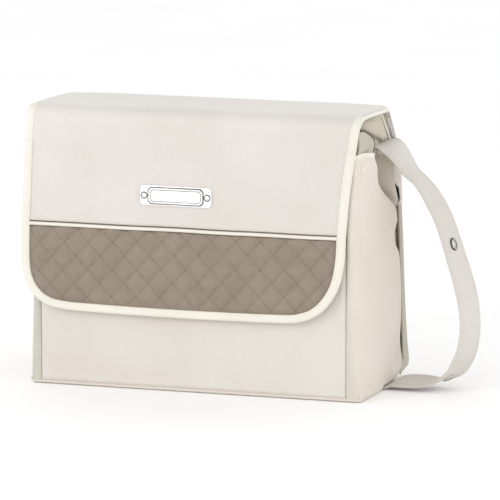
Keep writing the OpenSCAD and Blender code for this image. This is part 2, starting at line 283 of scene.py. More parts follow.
# painted shade: a darker greenish copy of the wing cloth for the short wing under the flap
WING_FRONT_SHADE = cloth("wing_front_cloth_shaded", srgb(184, 182, 168), srgb(172, 169, 154), pitch=0.0009, sheen=0.2, bump=0.3, mottle=16)
POCKETM = cloth("inner_pocket_cloth", srgb(186, 178, 164), srgb(160, 152, 138), pitch=0.0012, sheen=0.2, bump=0.6, mottle=26)
ELASTIC = cloth("elastic_webbing", srgb(158, 150, 138), srgb(120, 113, 102), pitch=0.0016, sheen=0.1, bump=0.8, diag=False)
BOARD = cloth("stiffener_fibreboard", srgb(176, 166, 146), srgb(150, 140, 120), pitch=0.003, sheen=0.0, bump=0.2, mottle=120)
THREAD = cloth("sewing_thread", srgb(236, 231, 220), srgb(214, 207, 193), pitch=0.0004, sheen=0.2, bump=0.5)
# painted shadow: a dark cloth for thin strips laid where edges and seams fall into shade
SHADOW_STRIP_M = cloth("painted_shadow_cloth", srgb(112, 102, 92), srgb(84, 76, 68), pitch=0.0006, sheen=0.0, bump=0.3)
THREAD_T = cloth("sewing_thread_taupe", srgb(140, 127, 113), srgb(116, 104, 92), pitch=0.0004, sheen=0.2, bump=0.5)
CHROME = metal("bright_plate_metal", srgb(250, 249, 248), srgb(238, 237, 236), rough=(0.06, 0.16))
# painted shade: a dark metal for the crevices of the nameplate and a snap cap
SHADE_METAL = metal("metal_painted_shade", srgb(96, 94, 92), srgb(60, 58, 56), rough=(0.35, 0.5))
ENAMEL = metal("ivory_lacquered_metal", srgb(228, 223, 214), srgb(220, 214, 204), rough=(0.35, 0.5), streak=(500, 500, 500))
ENAMEL.node_tree.nodes["Principled BSDF"].inputs["Metallic"].default_value = 0.15
NICKEL = metal("satin_snap_metal", srgb(205, 203, 196), srgb(176, 174, 167), rough=(0.25, 0.4), streak=(500, 500, 500))


# the long wing's cloth, with painted shade where it sinks behind the short one
WING_GAP_SHADE = cloth("wing_cloth_gap_shade", srgb(212, 203, 189), srgb(190, 180, 165), pitch=0.0009, sheen=0.2, bump=0.3, mottle=16)
nt = WING_GAP_SHADE.node_tree
b = nt.nodes["Principled BSDF"]
src = b.inputs["Base Color"].links[0].from_socket
at_ = N(nt, "ShaderNodeAttribute")
at_.attribute_name = "wing_gap_shade"
tc_ = N(nt, "ShaderNodeTexCoord")
no_ = N(nt, "ShaderNodeTexNoise", Scale=90.0, Detail=4.0)
nt.links.new(tc_.outputs["Object"], no_.inputs["Vector"])
cc_ = ramp(nt, no_.outputs["Fac"], [(0.3, srgb(104, 98, 84)), (0.7, srgb(124, 117, 101))])
mx_ = N(nt, "ShaderNodeMix", data_type="RGBA", blend_type="MIX")
nt.links.new(at_.outputs["Fac"], mx_.inputs["Factor"])
nt.links.new(src, mx_.inputs["A"])
nt.links.new(cc_.outputs["Color"], mx_.inputs["B"])
nt.links.new(mx_.outputs["Result"], b.inputs["Base Color"])

# the gussets: the same leatherette, tinted warmer, with painted shade mixed in by three values kept on the mesh: darker
# olive on the folded-in part, greenish grey on the front corner strip and near black in the slit
GUSSET_PAINTED_SHADE = leather("ivory_leatherette_gusset_shade", srgb(224, 216, 206), srgb(218, 208, 196))
nt = GUSSET_PAINTED_SHADE.node_tree
b = nt.nodes["Principled BSDF"]
src = b.inputs["Base Color"].links[0].from_socket
for nm_, lo_c, hi_c in (("folded_in_shade", srgb(208, 202, 187), srgb(193, 186, 169)), ("front_strip_shade", srgb(189, 189, 176), srgb(179, 178, 164)), ("slit", srgb(34, 31, 24), srgb(18, 16, 12))):
    at_ = N(nt, "ShaderNodeAttribute")
    at_.attribute_name = nm_
    tc_ = N(nt, "ShaderNodeTexCoord")
    no_ = N(nt, "ShaderNodeTexNoise", Scale=60.0, Detail=4.0)
    nt.links.new(tc_.outputs["Object"], no_.inputs["Vector"])
    cc_ = ramp(nt, no_.outputs["Fac"], [(0.3, hi_c), (0.7, lo_c)])
    mx_ = N(nt, "ShaderNodeMix", data_type="RGBA", blend_type="MIX")
    nt.links.new(at_.outputs["Fac"], mx_.inputs["Factor"])
    nt.links.new(src, mx_.inputs["A"])
    nt.links.new(cc_.outputs["Color"], mx_.inputs["B"])
    src = mx_.outputs["Result"]
nt.links.new(src, b.inputs["Base Color"])


# ------------------------------------------------------------------ mesh tools
def make(name, V, F, mat, body=None, replaces=(), angle=38):
    me = bpy.data.meshes.new(name)
    me.from_pydata((np.asarray(V, float) * MM).tolist(), [], [tuple(int(i) for i in f) for f in F])
    me.validate(clean_customdata=False)
    me.update()
    me.polygons.foreach_set("use_smooth", np.ones(len(me.polygons), bool))
    if angle:
        me.set_sharp_from_angle(angle=math.radians(angle))
    o = bpy.data.objects.new(name, me)
    bpy.context.collection.objects.link(o)
    me.materials.append(mat)
    if replaces:
        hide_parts(*replaces)
    if body:
        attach(o, body)
    return o


def grid_normals(P, flip):
    du = np.gradient(P, axis=0)
    dv = np.gradient(P, axis=1)
    n = unit(np.cross(du, dv))
    return -n if flip else n


def thick(P, t, flip=False, keep=None, edge_round=0.0):
    """A closed sheet from a grid of points on its outer face. t is its thickness (a number or a grid), taken inwards."""
    nu, nv = P.shape[:2]
    n = grid_normals(P, flip)
    t = np.broadcast_to(t, (nu, nv))
    outer = P.reshape(-1, 3)
    inner = (P - n * t[..., None]).reshape(-1, 3)
    idx = np.arange(nu * nv).reshape(nu, nv)
    a, b, c, d = idx[:-1, :-1], idx[1:, :-1], idx[1:, 1:], idx[:-1, 1:]
    q = np.stack([a, b, c, d], -1).reshape(-1, 4)
    if flip:
        q = q[:, ::-1]
    if keep is not None:
        k = keep.reshape(-1)
        q = q[k[q].all(1)]
    edges = {}
    for f in q:
        for i in range(4):
            e0, e1 = int(f[i]), int(f[(i + 1) % 4])
            edges[(e0, e1)] = 1
    rim = [(e0, e1) for (e0, e1) in edges if (e1, e0) not in edges]
    off = nu * nv
    F = [tuple(f) for f in q] + [tuple(off + f[::-1]) for f in q] + [(e1, e0, e0 + off, e1 + off) for e0, e1 in rim]
    V = np.concatenate([outer, inner])
    used = np.zeros(len(V), bool)
    for f in F:
        used[list(f)] = True
    remap = np.cumsum(used) - 1
    return V[used], [tuple(remap[list(f)]) for f in F]


def sweep(path, side, up, section, closed=False, caps=True):
    """section points (s, u) go along side and up at each path point."""
    path, side, up = (np.asarray(x, float) for x in (path, side, up))
    n, m = len(path), len(section)
    if isinstance(section, np.ndarray) and section.ndim == 3:
        S = section
        m = section.shape[1]
    else:
        S = np.broadcast_to(np.asarray(section, float), (n, m, 2))
    V = path[:, None] + S[..., :1] * side[:, None] + S[..., 1:] * up[:, None]
    V = V.reshape(-1, 3)
    F = []
    last = n if closed else n - 1
    for i in range(last):
        j = (i + 1) % n
        for k in range(m):
            l = (k + 1) % m
            F.append((i * m + k, i * m + l, j * m + l, j * m + k))
    if caps and not closed:
        F.append(tuple(range(m))[::-1])
        F.append(tuple((n - 1) * m + k for k in range(m)))
    # make the faces look outwards
    f = F[0]
    c = V[: m].mean(0)
    nrm = np.cross(V[f[1]] - V[f[0]], V[f[2]] - V[f[0]])
    if nrm @ (V[list(f)].mean(0) - c) < 0:
        F = [g[::-1] for g in F]
    return V, F


def rounded(w, h, r, n=4, crown=0.0):
    """A rounded rectangle's outline, w across and h deep."""
    pts = []
    for cx, cy, a0 in ((w / 2 - r, h / 2 - r, 0), (-w / 2 + r, h / 2 - r, 90), (-w / 2 + r, -h / 2 + r, 180), (w / 2 - r, -h / 2 + r, 270)):
        for k in range(n + 1):
            t = math.radians(a0 + 90 * k / n)
            pts.append((cx + r * math.cos(t), cy + r * math.sin(t)))
    return np.array(pts)


def tube_frames(P, up_hint):
    P = np.asarray(P, float)
    t = unit(np.gradient(P, axis=0))
    up = np.broadcast_to(np.asarray(up_hint, float), P.shape)
    side = unit(np.cross(t, up))
    up = unit(np.cross(side, t))
    return t, side, up


def merge(parts):
    V, F, o = [], [], 0
    for v, f in parts:
        V.append(v)
        F += [tuple(int(i) + o for i in g) for g in f]
        o += len(v)
    return np.concatenate(V), F


def stitches(path, normal, pitch=3.6, length=2.6, r=0.32, lift=0.08):
    """A row of sewn stitches along a path: short slightly sunk thread beads."""
    P = np.asarray(path, float)
    nrm = np.broadcast_to(np.asarray(normal, float), P.shape)
    d = np.concatenate([[0], np.cumsum(np.linalg.norm(np.diff(P, axis=0), axis=1))])
    parts = []
    k = int(d[-1] // pitch)
    if k < 1:
        return None
    for i in range(k):
        s0 = (d[-1] - k * pitch) / 2 + i * pitch + (pitch - length) / 2
        ss = [s0, s0 + length * 0.12, s0 + length * 0.5, s0 + length * 0.88, s0 + length]
        pp = np.stack([np.interp(ss, d, P[:, c]) for c in range(3)], 1)
        nn = unit(np.stack([np.interp(ss, d, nrm[:, c]) for c in range(3)], 1))
        pp = pp + nn * (np.array([-0.25, 0.0, lift + 0.05, 0.0, -0.25]))[:, None]
        t = unit(pp[-1] - pp[0])
        side = unit(np.cross(t, nn))
        rr = r * np.array([0.35, 0.9, 1.0, 0.9, 0.35])
        ring = np.array([(math.cos(q), math.sin(q)) for q in np.linspace(0, 2 * math.pi, 6, endpoint=False)])
        V = (pp[:, None] + rr[:, None, None] * (ring[None, :, :1] * side[:, None] + ring[None, :, 1:] * nn[:, None])).reshape(-1, 3)
        F = []
        for q in range(4):
            for m_ in range(6):
                F.append((q * 6 + m_, q * 6 + (m_ + 1) % 6, (q + 1) * 6 + (m_ + 1) % 6, (q + 1) * 6 + m_))
        F += [tuple(range(6))[::-1], tuple(24 + x for x in range(6))]
        parts.append((V, F))
    return merge(parts)


def stitch_obj(name, rows, mat, body=None, **kw):
    parts = [x for x in (stitches(p, n, **kw) for p, n in rows) if x]
    V, F = merge(parts)
    return make(name, V, F, mat, body, angle=0)


# ------------------------------------------------------------------ body shape
HW = 190.0
FY = -80.0


def back_at(z):
    return 76 - 32 * (np.asarray(z, float) - 22.4) / 275.6


def base_z(y):
    return np.interp(y, [-80, -8, 3, 24, 48, 66, 76], [0, 0, 4, 4, 6.5, 12, 22])


def corner_r(z):
    """x of the right front corner: pulled in at mid height by the soft gusset."""
    return np.interp(z, [0, 18, 36, 60, 80, 130, 187, 225, 262, 300], [190, 188.4, 186.4, 183.2, 181.4, 179.4, 178.6, 180.5, 186, 187])


def corner_l(z):
    return -np.interp(z, [0, 40, 90, 180, 262, 300], [190, 189, 187.5, 187, 188, 188])


def front_y(x, z):
    """Outer face of the front panel."""
    b = 1.0 * np.sin(np.pi * np.clip((z - 3) / 150, 0, 1)) * np.cos(np.pi * np.clip(x / 400, -0.5, 0.5)) + 0.35 * wob(x, z, 150, 1.1)
    return FY - np.maximum(b, -0.2) * smooth(z, 3, 26)


FOLD_Z = [-5, 9, 35, 51, 78, 110, 129, 140, 147, 154, 160, 166, 172, 181, 195, 205, 215, 222, 230, 250, 267, 300]
FOLD_Y = [60, 60, 57, 55, 58, 58, 55, 51, 46, 38, 32, 30, 36, 44, 40, 22, 3, -8, -17, -24, -40, -46]


def gusset_top(y):
    return 259.0 + 5.0 * (1 - float(smooth(y, -62, -8)))


def slit(y, z):
    """1 inside the narrow wedge-shaped slit, 0 outside."""
    lo_ = np.interp(z, [195, 207, 223.5], [51.5, 42.5, 30.5])
    hi_ = np.interp(z, [195, 205, 216, 223.5], [53.0, 51.5, 46.5, 32.0])
    return smooth(y - lo_, -0.5, 0.7) * (1 - smooth(y - hi_, -0.6, 0.6)) * smooth(z, 194, 198) * (1 - smooth(z, 222, 224))


def rear_rise(z):
    """0 where the pocket covers the corner, 1 above it, where the side runs out to a full corner."""
    return smooth(z, 184, 203)


def rear_full(z):
    return 8.8 * rear_rise(z) * (1 - 0.75 * smooth(z, 234, 258))


def fold_end(z):
    return np.interp(z, [186, 195, 205, 215, 223, 240, 262], [50, 46, 38, 28, 23, 21, 20.5])


def build_gusset(s):
    """One gusset: s is 1 for the right, -1 for the left. Returns the outer grid, from the front seam round to the back
    seam, then the painted-shade mask of the folded-in part and the slit's mask, which also places the slit's painted
    shadow (both zero on the left).
    """
    nz = 140
    tz = np.linspace(0, 1, nz)
    rows = []
    nside = 120
    for t in tz:
        pts = []
        zc = 3.4 + t * (gusset_top(-80) - 3.4)
        cx = float(corner_r(zc)) if s > 0 else -float(corner_l(zc))
        seam = 172.4 if s > 0 else 178.0
        # front strip
        for k in range(7):
            u = k / 7
            x = seam + (cx - 4.0 - seam) * u
            y = float(front_y(s * x, zc)) - 0.5 * math.sin(math.pi * u) + 0.9 * math.exp(-((x - seam) / 1.3) ** 2)
            pts.append((x, y, zc))
        for k in range(6):
            q = math.radians(90 * k / 5)
            pts.append((cx - 4.0 + 4.0 * math.sin(q), FY - 0.3 + 4.0 * (1 - math.cos(q)), zc))
        yb_ = float(back_at(zc))
        up1 = float(rear_rise(zc)) if s > 0 else 0.0
        bul = float(rear_full(zc)) if s > 0 else 0.0
        ry_, rx_ = 13 - 7.0 * up1, 11 - 6.0 * up1
        y1 = yb_ + bul - ry_
        for k in range(1, nside + 1):
            u = k / (nside + 1)
            y = -75.7 + (y1 + 75.7) * u
            zb = float(base_z(y)) + 3.4
            z = zb + t * (gusset_top(y) - zb)
            x = cx + (HW - 0.4 - cx) * (1 - (1 - u) ** 2.2)
            pts.append((x, y, z))
        for k in range(8):
            q = math.radians(90 * k / 7)
            y = y1 + ry_ * math.sin(q)
            zb = float(base_z(min(y, 76))) + 3.4
            z = zb + t * (gusset_top(y) - zb)
            pts.append((HW - 0.4 - rx_ * (1 - math.cos(q)), y, z))
        rows.append(pts)
    P = np.array(rows)
    x, y, z = P[..., 0].copy(), P[..., 1].copy(), P[..., 2].copy()
    side = smooth(y, -76, -60)
    rear = 1 - smooth(y, back_at(z) - 16, back_at(z) - 4)
    # soft belly of the side
    P[..., 0] += 1.6 * side * rear * np.sin(np.pi * np.clip((z - 10) / 200, 0, 1)) + 0.5 * side * wob(y, z, 90, 2.0 + s)
    # fold line that runs down and back from the strap root: behind it the side is folded in
    amt = 15.0 if s > 0 else 5.0
    yc = np.interp(z, FOLD_Z, FOLD_Y)
    deep = smooth(z, 160, 212)
    low = smooth(z, 20, 44) * (1 - deep)
    dist = y - yc
    back_ = smooth(y, back_at(z) - 24, back_at(z) - 5)
    if s > 0:
        rise = rear_rise(z)
        run = smooth(y - fold_end(z), -3.0, 5.0)
        P[..., 0] -= amt * deep * smooth(dist, -1.5, 6.5) * (1 - np.maximum(rise * run, (1 - rise) * 0.72 * back_))
        P[..., 0] += 1.8 * rise * run
    else:
        P[..., 0] -= amt * deep * smooth(dist, -6, 14) * (1 - 0.72 * back_)
    P[..., 0] -= (4.2 if s > 0 else 1.2) * low * smooth(dist, -1.2, 2.4 if s > 0 else 8) * (1 - 0.9 * smooth(y, back_at(z) - 7, back_at(z) - 1))
    P[..., 0] += (1.5 * deep + 0.7 * low) * np.exp(-((dist + 4.0) / 4.5) ** 2)
    # a narrow slit where the folded side stands off the back
    if s > 0:
        P[..., 0] -= 0.7 * slit(y, z)
    # shaded hollow at the lower rear corner
    P[..., 0] -= 2.4 * np.exp(-((y - 47) / 9.0) ** 2 - ((z - 26) / 13.0) ** 2)
    # a soft hanging fold on the bright part
    P[..., 0] -= 0.9 * side * np.exp(-((y + 52 + 0.10 * (z - 120)) / 7.0) ** 2) * smooth(z, 40, 120)
    # top front corner leans in
    lean = smooth(z, 236, 264) * (1 - smooth(y, -60, -25))
    P[..., 0] -= 2.5 * lean
    if s < 0:
        P[..., 0] *= -1
        return P, np.zeros(x.shape), np.zeros(x.shape)
    # painted shade: how much of the darker olive goes on the folded-in part behind the fold line
    shade = smooth(dist, 0.2, 3.2 - 1.0 * low) * (1 - rear_rise(z) * smooth(y - fold_end(z), -1.5, 4.5)) * smooth(z, 5, 9)
    return P, shade, slit(y, z)


(GR, SHADE_R, SLIT_SHADE_R), (GL, _a, _b) = build_gusset(1), build_gusset(-1)
V, F = thick(GR, 1.7, flip=True)
gus_r0 = make("gusset_right_soft", V, F, GUSSET_PAINTED_SHADE, "bag_body", ["gusset_right"])
V, F = thick(GL, 1.7, flip=False)
gus_l0 = make("gusset_left_soft", V, F, GUSSET_PAINTED_SHADE, "bag_body", ["gusset_left"])
# painted shade: greenish grey on the front corner strip of each gusset, strongest at the front seam
STRIP_SHADE_R = np.zeros(SHADE_R.shape)
STRIP_SHADE_R[:, :12] = np.interp(np.arange(12), [0, 5, 9, 11], [0.62, 0.42, 0.25, 0.0])
STRIP_SHADE_L = np.zeros(SHADE_R.shape)
STRIP_SHADE_L[:, :14] = np.interp(np.arange(14), [0, 9, 13], [0.85, 0.8, 0.0])
for ob_, sets_ in ((gus_r0, (("folded_in_shade", SHADE_R), ("front_strip_shade", STRIP_SHADE_R), ("slit", SLIT_SHADE_R))), (gus_l0, (("front_strip_shade", STRIP_SHADE_L),))):
    for nm_, arr_ in sets_:
        at_ = ob_.data.attributes.new(nm_, "FLOAT", "POINT")
        at_.data.foreach_set("value", np.concatenate([arr_.reshape(-1), arr_.reshape(-1)]).astype(np.float32))
# faces well inside the slit take the near-black painted shadow material
SV = np.concatenate([SLIT_SHADE_R.reshape(-1), SLIT_SHADE_R.reshape(-1)])
gus_r0.data.materials.append(SLIT_SHADOW)
gus_r0.data.polygons.foreach_set("material_index", [1 if min(SV[v_] for v_ in p_.vertices) > 0.5 else 0 for p_ in gus_r0.data.polygons])

# front panel
nx, nz = 150, 120
xs, zs = np.linspace(-177.6, 172.0, nx), np.concatenate([np.linspace(3.6, 12, 10)[:-1], np.linspace(12, 296.5, nz)])
X, Z = np.meshgrid(xs, zs, indexing="ij")
Y = front_y(X, Z)
edge = np.minimum.reduce([np.abs(X + 177.6), np.abs(X - 172.0), np.abs(Z - 3.6) + 0 * X])
Y = Y + 1.0 * np.exp(-(edge / 1.3) ** 2) - 0.35 * np.exp(-((edge - 4.5) / 2.5) ** 2)
P = np.stack([X, Y, Z], -1)
V, F = thick(P, 1.6, flip=False)
make("front_panel_soft", V, F, FRONTM, "bag_body", ["front_panel"])

# base with rolled edges
prof = curve([(-80.6, 3.4), (-80.2, 1.3), (-77.5, 0.15), (-60, 0), (-8, 0), (3, 3.9), (24, 4.0), (48, 6.5), (66, 12), (76.5, 22.2)], 8)
prof = resample(prof, step=2.2)
xs = np.concatenate([-190 + 3.4 * (1 - np.cos(np.radians(np.linspace(90, 15, 6)))) - 0, np.linspace(-186.4, 186.4, 90)])
xe = []
for q in np.radians(np.linspace(90, 12, 7)):
    xe.append((186.6 + 3.3 * math.sin(q), 3.3 * (1 - math.cos(q))))
left = [(-a_, b_) for a_, b_ in xe]
mid = [(x_, 0.0) for x_ in np.linspace(-186.3, 186.3, 100)]
cols = left + mid + xe[::-1]
P = np.array([[(cx_, py, pz + dz) for (py, pz) in prof] for cx_, dz in cols])
V, F = thick(P, 1.6, flip=True)
make("base_soft", V, F, IVORY_SIDE_SHADE, "bag_body", ["base_panel"])

# back panel, above and behind the pocket
xs, zs = np.linspace(-179.5, 179.5, 120), np.linspace(23, 299, 110)
X, Z = np.meshgrid(xs, zs, indexing="ij")
rear_r = np.interp(Z, GR[:, -1, 2], GR[:, -1, 0])
rear_l = np.interp(Z, GL[:, -1, 2], GL[:, -1, 0])
rear_r = np.minimum(rear_r, np.interp(Z, [262, 275, 299], [190, 184.0, 177.5]))
rear_y = np.interp(Z, GR[:, -1, 2], GR[:, -1, 1])
rear_y = back_at(Z) + (rear_y - back_at(np.minimum(Z, GR[-1, -1, 2]))) * (1 - smooth(Z, 256, 280))
X = np.where(X > 0, X / 179.5 * (rear_r + 0.8), -X / 179.5 * (rear_l - 0.8))
Y = back_at(Z) - 0.3 + 0.4 * wob(X, Z, 140, 3.0) * smooth(Z, 30, 60)
Y = Y + (rear_y - back_at(Z)) * smooth(X, 105, 176)
edge = np.minimum(np.abs(X - rear_l), np.abs(X - rear_r))
Y = Y - 0.9 * np.exp(-(edge / 1.3) ** 2)
V, F = thick(np.stack([X, Y, Z], -1), 1.6, flip=True)
make("back_panel_soft", V, F, IVORY, "bag_body", ["back_panel"])


# back slip pocket: its wall wraps round both ends
def pocket_grid():
    rows = []
    xe_ = 189.4
    for t in np.linspace(0, 1, 70):
        pts = []
        plan = [(-xe_ + 1, -1.0), (-xe_, 3.0), (-xe_ - 0.2, 7.5), (-xe_ + 1.8, 11.2), (-xe_ + 8, 12.6), (-xe_ + 40, 13.4), (-60, 14.2), (0, 14.6), (60, 14.2), (xe_ - 40, 13.4), (xe_ - 8, 12.6), (xe_ - 1.8, 11.2), (xe_ + 0.2, 7.5), (xe_, 3.0), (xe_ - 1, -1.0)]
        c = resample(curve(plan, 10), count=150)
        for x, d in c:
            ztop = 219.0 - 16 * (1 - float(smooth(abs(xe_ + 1 - abs(x)) + d * 0.4, 0, 22)))
            zb = 11.0 + 11.0 * (1 - min(max(d, 0) / 12.0, 1))
            z = zb + t * (ztop - zb)
            low = float(np.interp(z, [10, 18, 30, 41, 74, 107, 155, 219], [0.25, 0.84, 0.60, 0.36, 0.10, 0.0, -0.02, -0.25]))
            dd = d * (1 + low)
            y = float(back_at(max(z, 22.4))) + dd + 0.5 * float(wob(x, z, 120, 4.2)) * min(d / 12, 1)
            pts.append((x, y, z))
        rows.append(pts)
    R_ = np.array(rows)
    low_ = []
    for k in range(7):
        f_ = k / 7.0
        q = R_[0].copy()
        q[:, 1] = 60.5 + (q[:, 1] - 60.5) * f_
        q[:, 2] = 8.4 + (q[:, 2] - 8.4) * f_ ** 1.35
        low_.append(q)
    return np.concatenate([np.array(low_), R_])


PK = pocket_grid()
V, F = thick(PK, 1.6, flip=False)
o = make("back_pocket_soft", V, F, IVORY_SIDE_SHADE, "bag_body", ["back_pocket"])
# the pocket's end walls take the darker olive copy: painted shade
o.data.materials.append(POCKET_END_SHADE)
for f in o.data.polygons:
    if abs(f.center.x) > 0.1862:
        f.material_index = 1
top = PK[-1]
nrm = grid_normals(PK, False)[-1]
c = top - nrm * 0.8 + np.array([0, 0, -2.4])
sec = rounded(3.4, 9.0, 1.5, 4)
upv = np.broadcast_to(np.array([0, 0, 1.0]), c.shape)
V, F = sweep(c, nrm, upv, sec)
make("back_pocket_edge", V, F, BIND, "bag_body", ["back_pocket_binding"])
stitch_obj("back_pocket_stitch", [(c + nrm * 1.75 + np.array([0, 0, -3.0]), nrm)], THREAD, "bag_body")

# ------------------------------------------------------------------ bindings and linings of the body
def strip_along(P, nrm, w, h, r, dz=0.0, inset_=0.8):
    c = P - nrm * inset_ + np.array([0, 0, dz])
    t = unit(np.gradient(c, axis=0))
    up = unit(np.array([0, 0, 1.0]) - t * (t @ np.array([0, 0, 1.0]))[:, None])
    side = unit(np.cross(t, up))
    return sweep(c, side, up, rounded(w, h, r, 4))


parts, rows = [], []
for G, flip, s in ((GR, True, 1), (GL, False, -1)):
    line = resample(G[-1, 4:-3], step=2.0)
    n_ = unit(np.stack([np.interp(np.linspace(0, 1, len(line)), np.linspace(0, 1, len(G[-1, 4:-3])), grid_normals(G, flip)[-1, 4:-3, k]) for k in range(3)], 1))
    n_[:, 2] = 0
    n_ = unit(n_)
    parts.append(strip_along(line, n_, 4.4, 6.6, 1.9, dz=-0.3, inset_=0.9))
    rows.append((line + n_ * 1.45 + np.array([0, 0, -1.6]), n_))
V, F = merge(parts)
make("gusset_edge_binding", V, F, BIND, "bag_body", ["gusset_binding"])
stitch_obj("gusset_edge_stitch", rows, THREAD, "bag_body")

parts = []
for y0, x0, x1, leanx in ((-77.4, -181, 181, 0), (41.2, -178, 174, 0)):
    xs = np.linspace(x0, x1, 150)
    c = np.stack([xs, y0 + 0.5 * wob(xs, xs * 0, 170, y0), 299.0 + 0.5 * wob(xs, xs * 0 + 40, 150, 2 + y0)], 1)
    t_, sd, up_ = tube_frames(c, (0, 0, 1))
    parts.append(sweep(c, sd, up_, rounded(6.2, 6.4, 2.4, 5)))
V, F = merge(parts)
make("mouth_binding_soft", V, F, BIND, "bag_body", ["mouth_binding"])
xs = np.linspace(-179, 179, 120)
stitch_obj("mouth_binding_stitch", [(np.stack([xs, -80.55 + 0 * xs, 297.6 + 0 * xs], 1), (0, -1, 0)), (np.stack([xs, 44.35 + 0 * xs, 297.6 + 0 * xs], 1), (0, 1, 0)),
                                    (np.stack([xs, -74.25 + 0 * xs, 297.6 + 0 * xs], 1), (0, 1, 0)), (np.stack([xs, 38.05 + 0 * xs, 297.6 + 0 * xs], 1), (0, -1, 0))], THREAD, "bag_body")


def plane_sheet(name, xs, zs, yf, t, flip, mat, node, body="bag_body", xfix=None):
    X, Z = np.meshgrid(xs, zs, indexing="ij")
    if xfix is not None:
        X = xfix(X, Z)
    P = np.stack([X, yf(X, Z), Z], -1)
    V, F = thick(P, t, flip=flip)
    return make(name, V, F, mat, body, [node] if node else [])


def lim_x(X, Z, pad):
    r = np.interp(Z, GR[:, 12, 2], np.minimum(GR[:, 12, 0], 189)) - pad
    l = np.interp(Z, GL[:, 12, 2], np.maximum(GL[:, 12, 0], -189)) + pad
    return np.clip(X, l, r)


plane_sheet("front_stiffener_soft", np.linspace(-183, 183, 90), np.linspace(14, 294, 60), lambda X, Z: -77.9 + 0 * X, 1.4, False, BOARD, "front_stiffener", xfix=lambda X, Z: lim_x(X, Z, 6))
plane_sheet("lining_front_soft", np.linspace(-183, 183, 110), np.linspace(14.5, 296.5, 80), lambda X, Z: -74.8 - 0.5 * np.cos(X / 60) + 0.35 * wob(X, Z, 90, 5), 0.8, True, LINING, "lining_front", xfix=lambda X, Z: lim_x(X, Z, 5))


def rear_lim(X, Z, pad):
    r = np.interp(Z, GR[:, -1, 2], GR[:, -1, 0]) + 5 - pad
    l = np.interp(Z, GL[:, -1, 2], GL[:, -1, 0]) - 5 + pad
    return np.clip(X, l, r)


plane_sheet("back_stiffener_soft", np.linspace(-180, 180, 90), np.linspace(25, 292, 60), lambda X, Z: back_at(Z) - 2.4, 1.4, True, BOARD, "back_stiffener", xfix=lambda X, Z: rear_lim(X, Z, 3))
plane_sheet("lining_back_soft", np.linspace(-181, 181, 110), np.linspace(23, 296.5, 80), lambda X, Z: back_at(Z) - 5.2 + 0.35 * wob(X, Z, 100, 7), 0.8, False, LINING, "lining_back", xfix=lambda X, Z: rear_lim(X, Z, 2))

for G, flip, s, nm in ((GR, True, 1, "right"), (GL, False, -1, "left")):
    Q = G[6:-1, 13:-8].copy()
    n_ = grid_normals(G, flip)[6:-1, 13:-8]
    y, z = Q[..., 1], Q[..., 2]
    Q = Q - n_ * 3.2
    Q[..., 0] += s * 0.4 * wob(y, z, 70, 3 + s)
    V, F = thick(Q, 0.8, flip=flip)
    make("lining_%s_soft" % nm, V, F, LINING, "bag_body", ["lining_" + nm])

xs, ys = np.linspace(-183, 183, 100), np.linspace(-73, 62, 60)
X, Y = np.meshgrid(xs, ys, indexing="ij")
Zb = 14.2 + 0.5 * wob(X, Y, 80, 9) + 2.2 * smooth(np.abs(X), 176, 183) + 3.0 * smooth(Y, 48, 62)
V, F = thick(np.stack([X, Y, Zb], -1), 0.8, flip=False)
make("lining_base_soft", V, F, LINING, "bag_body", ["lining_base"])

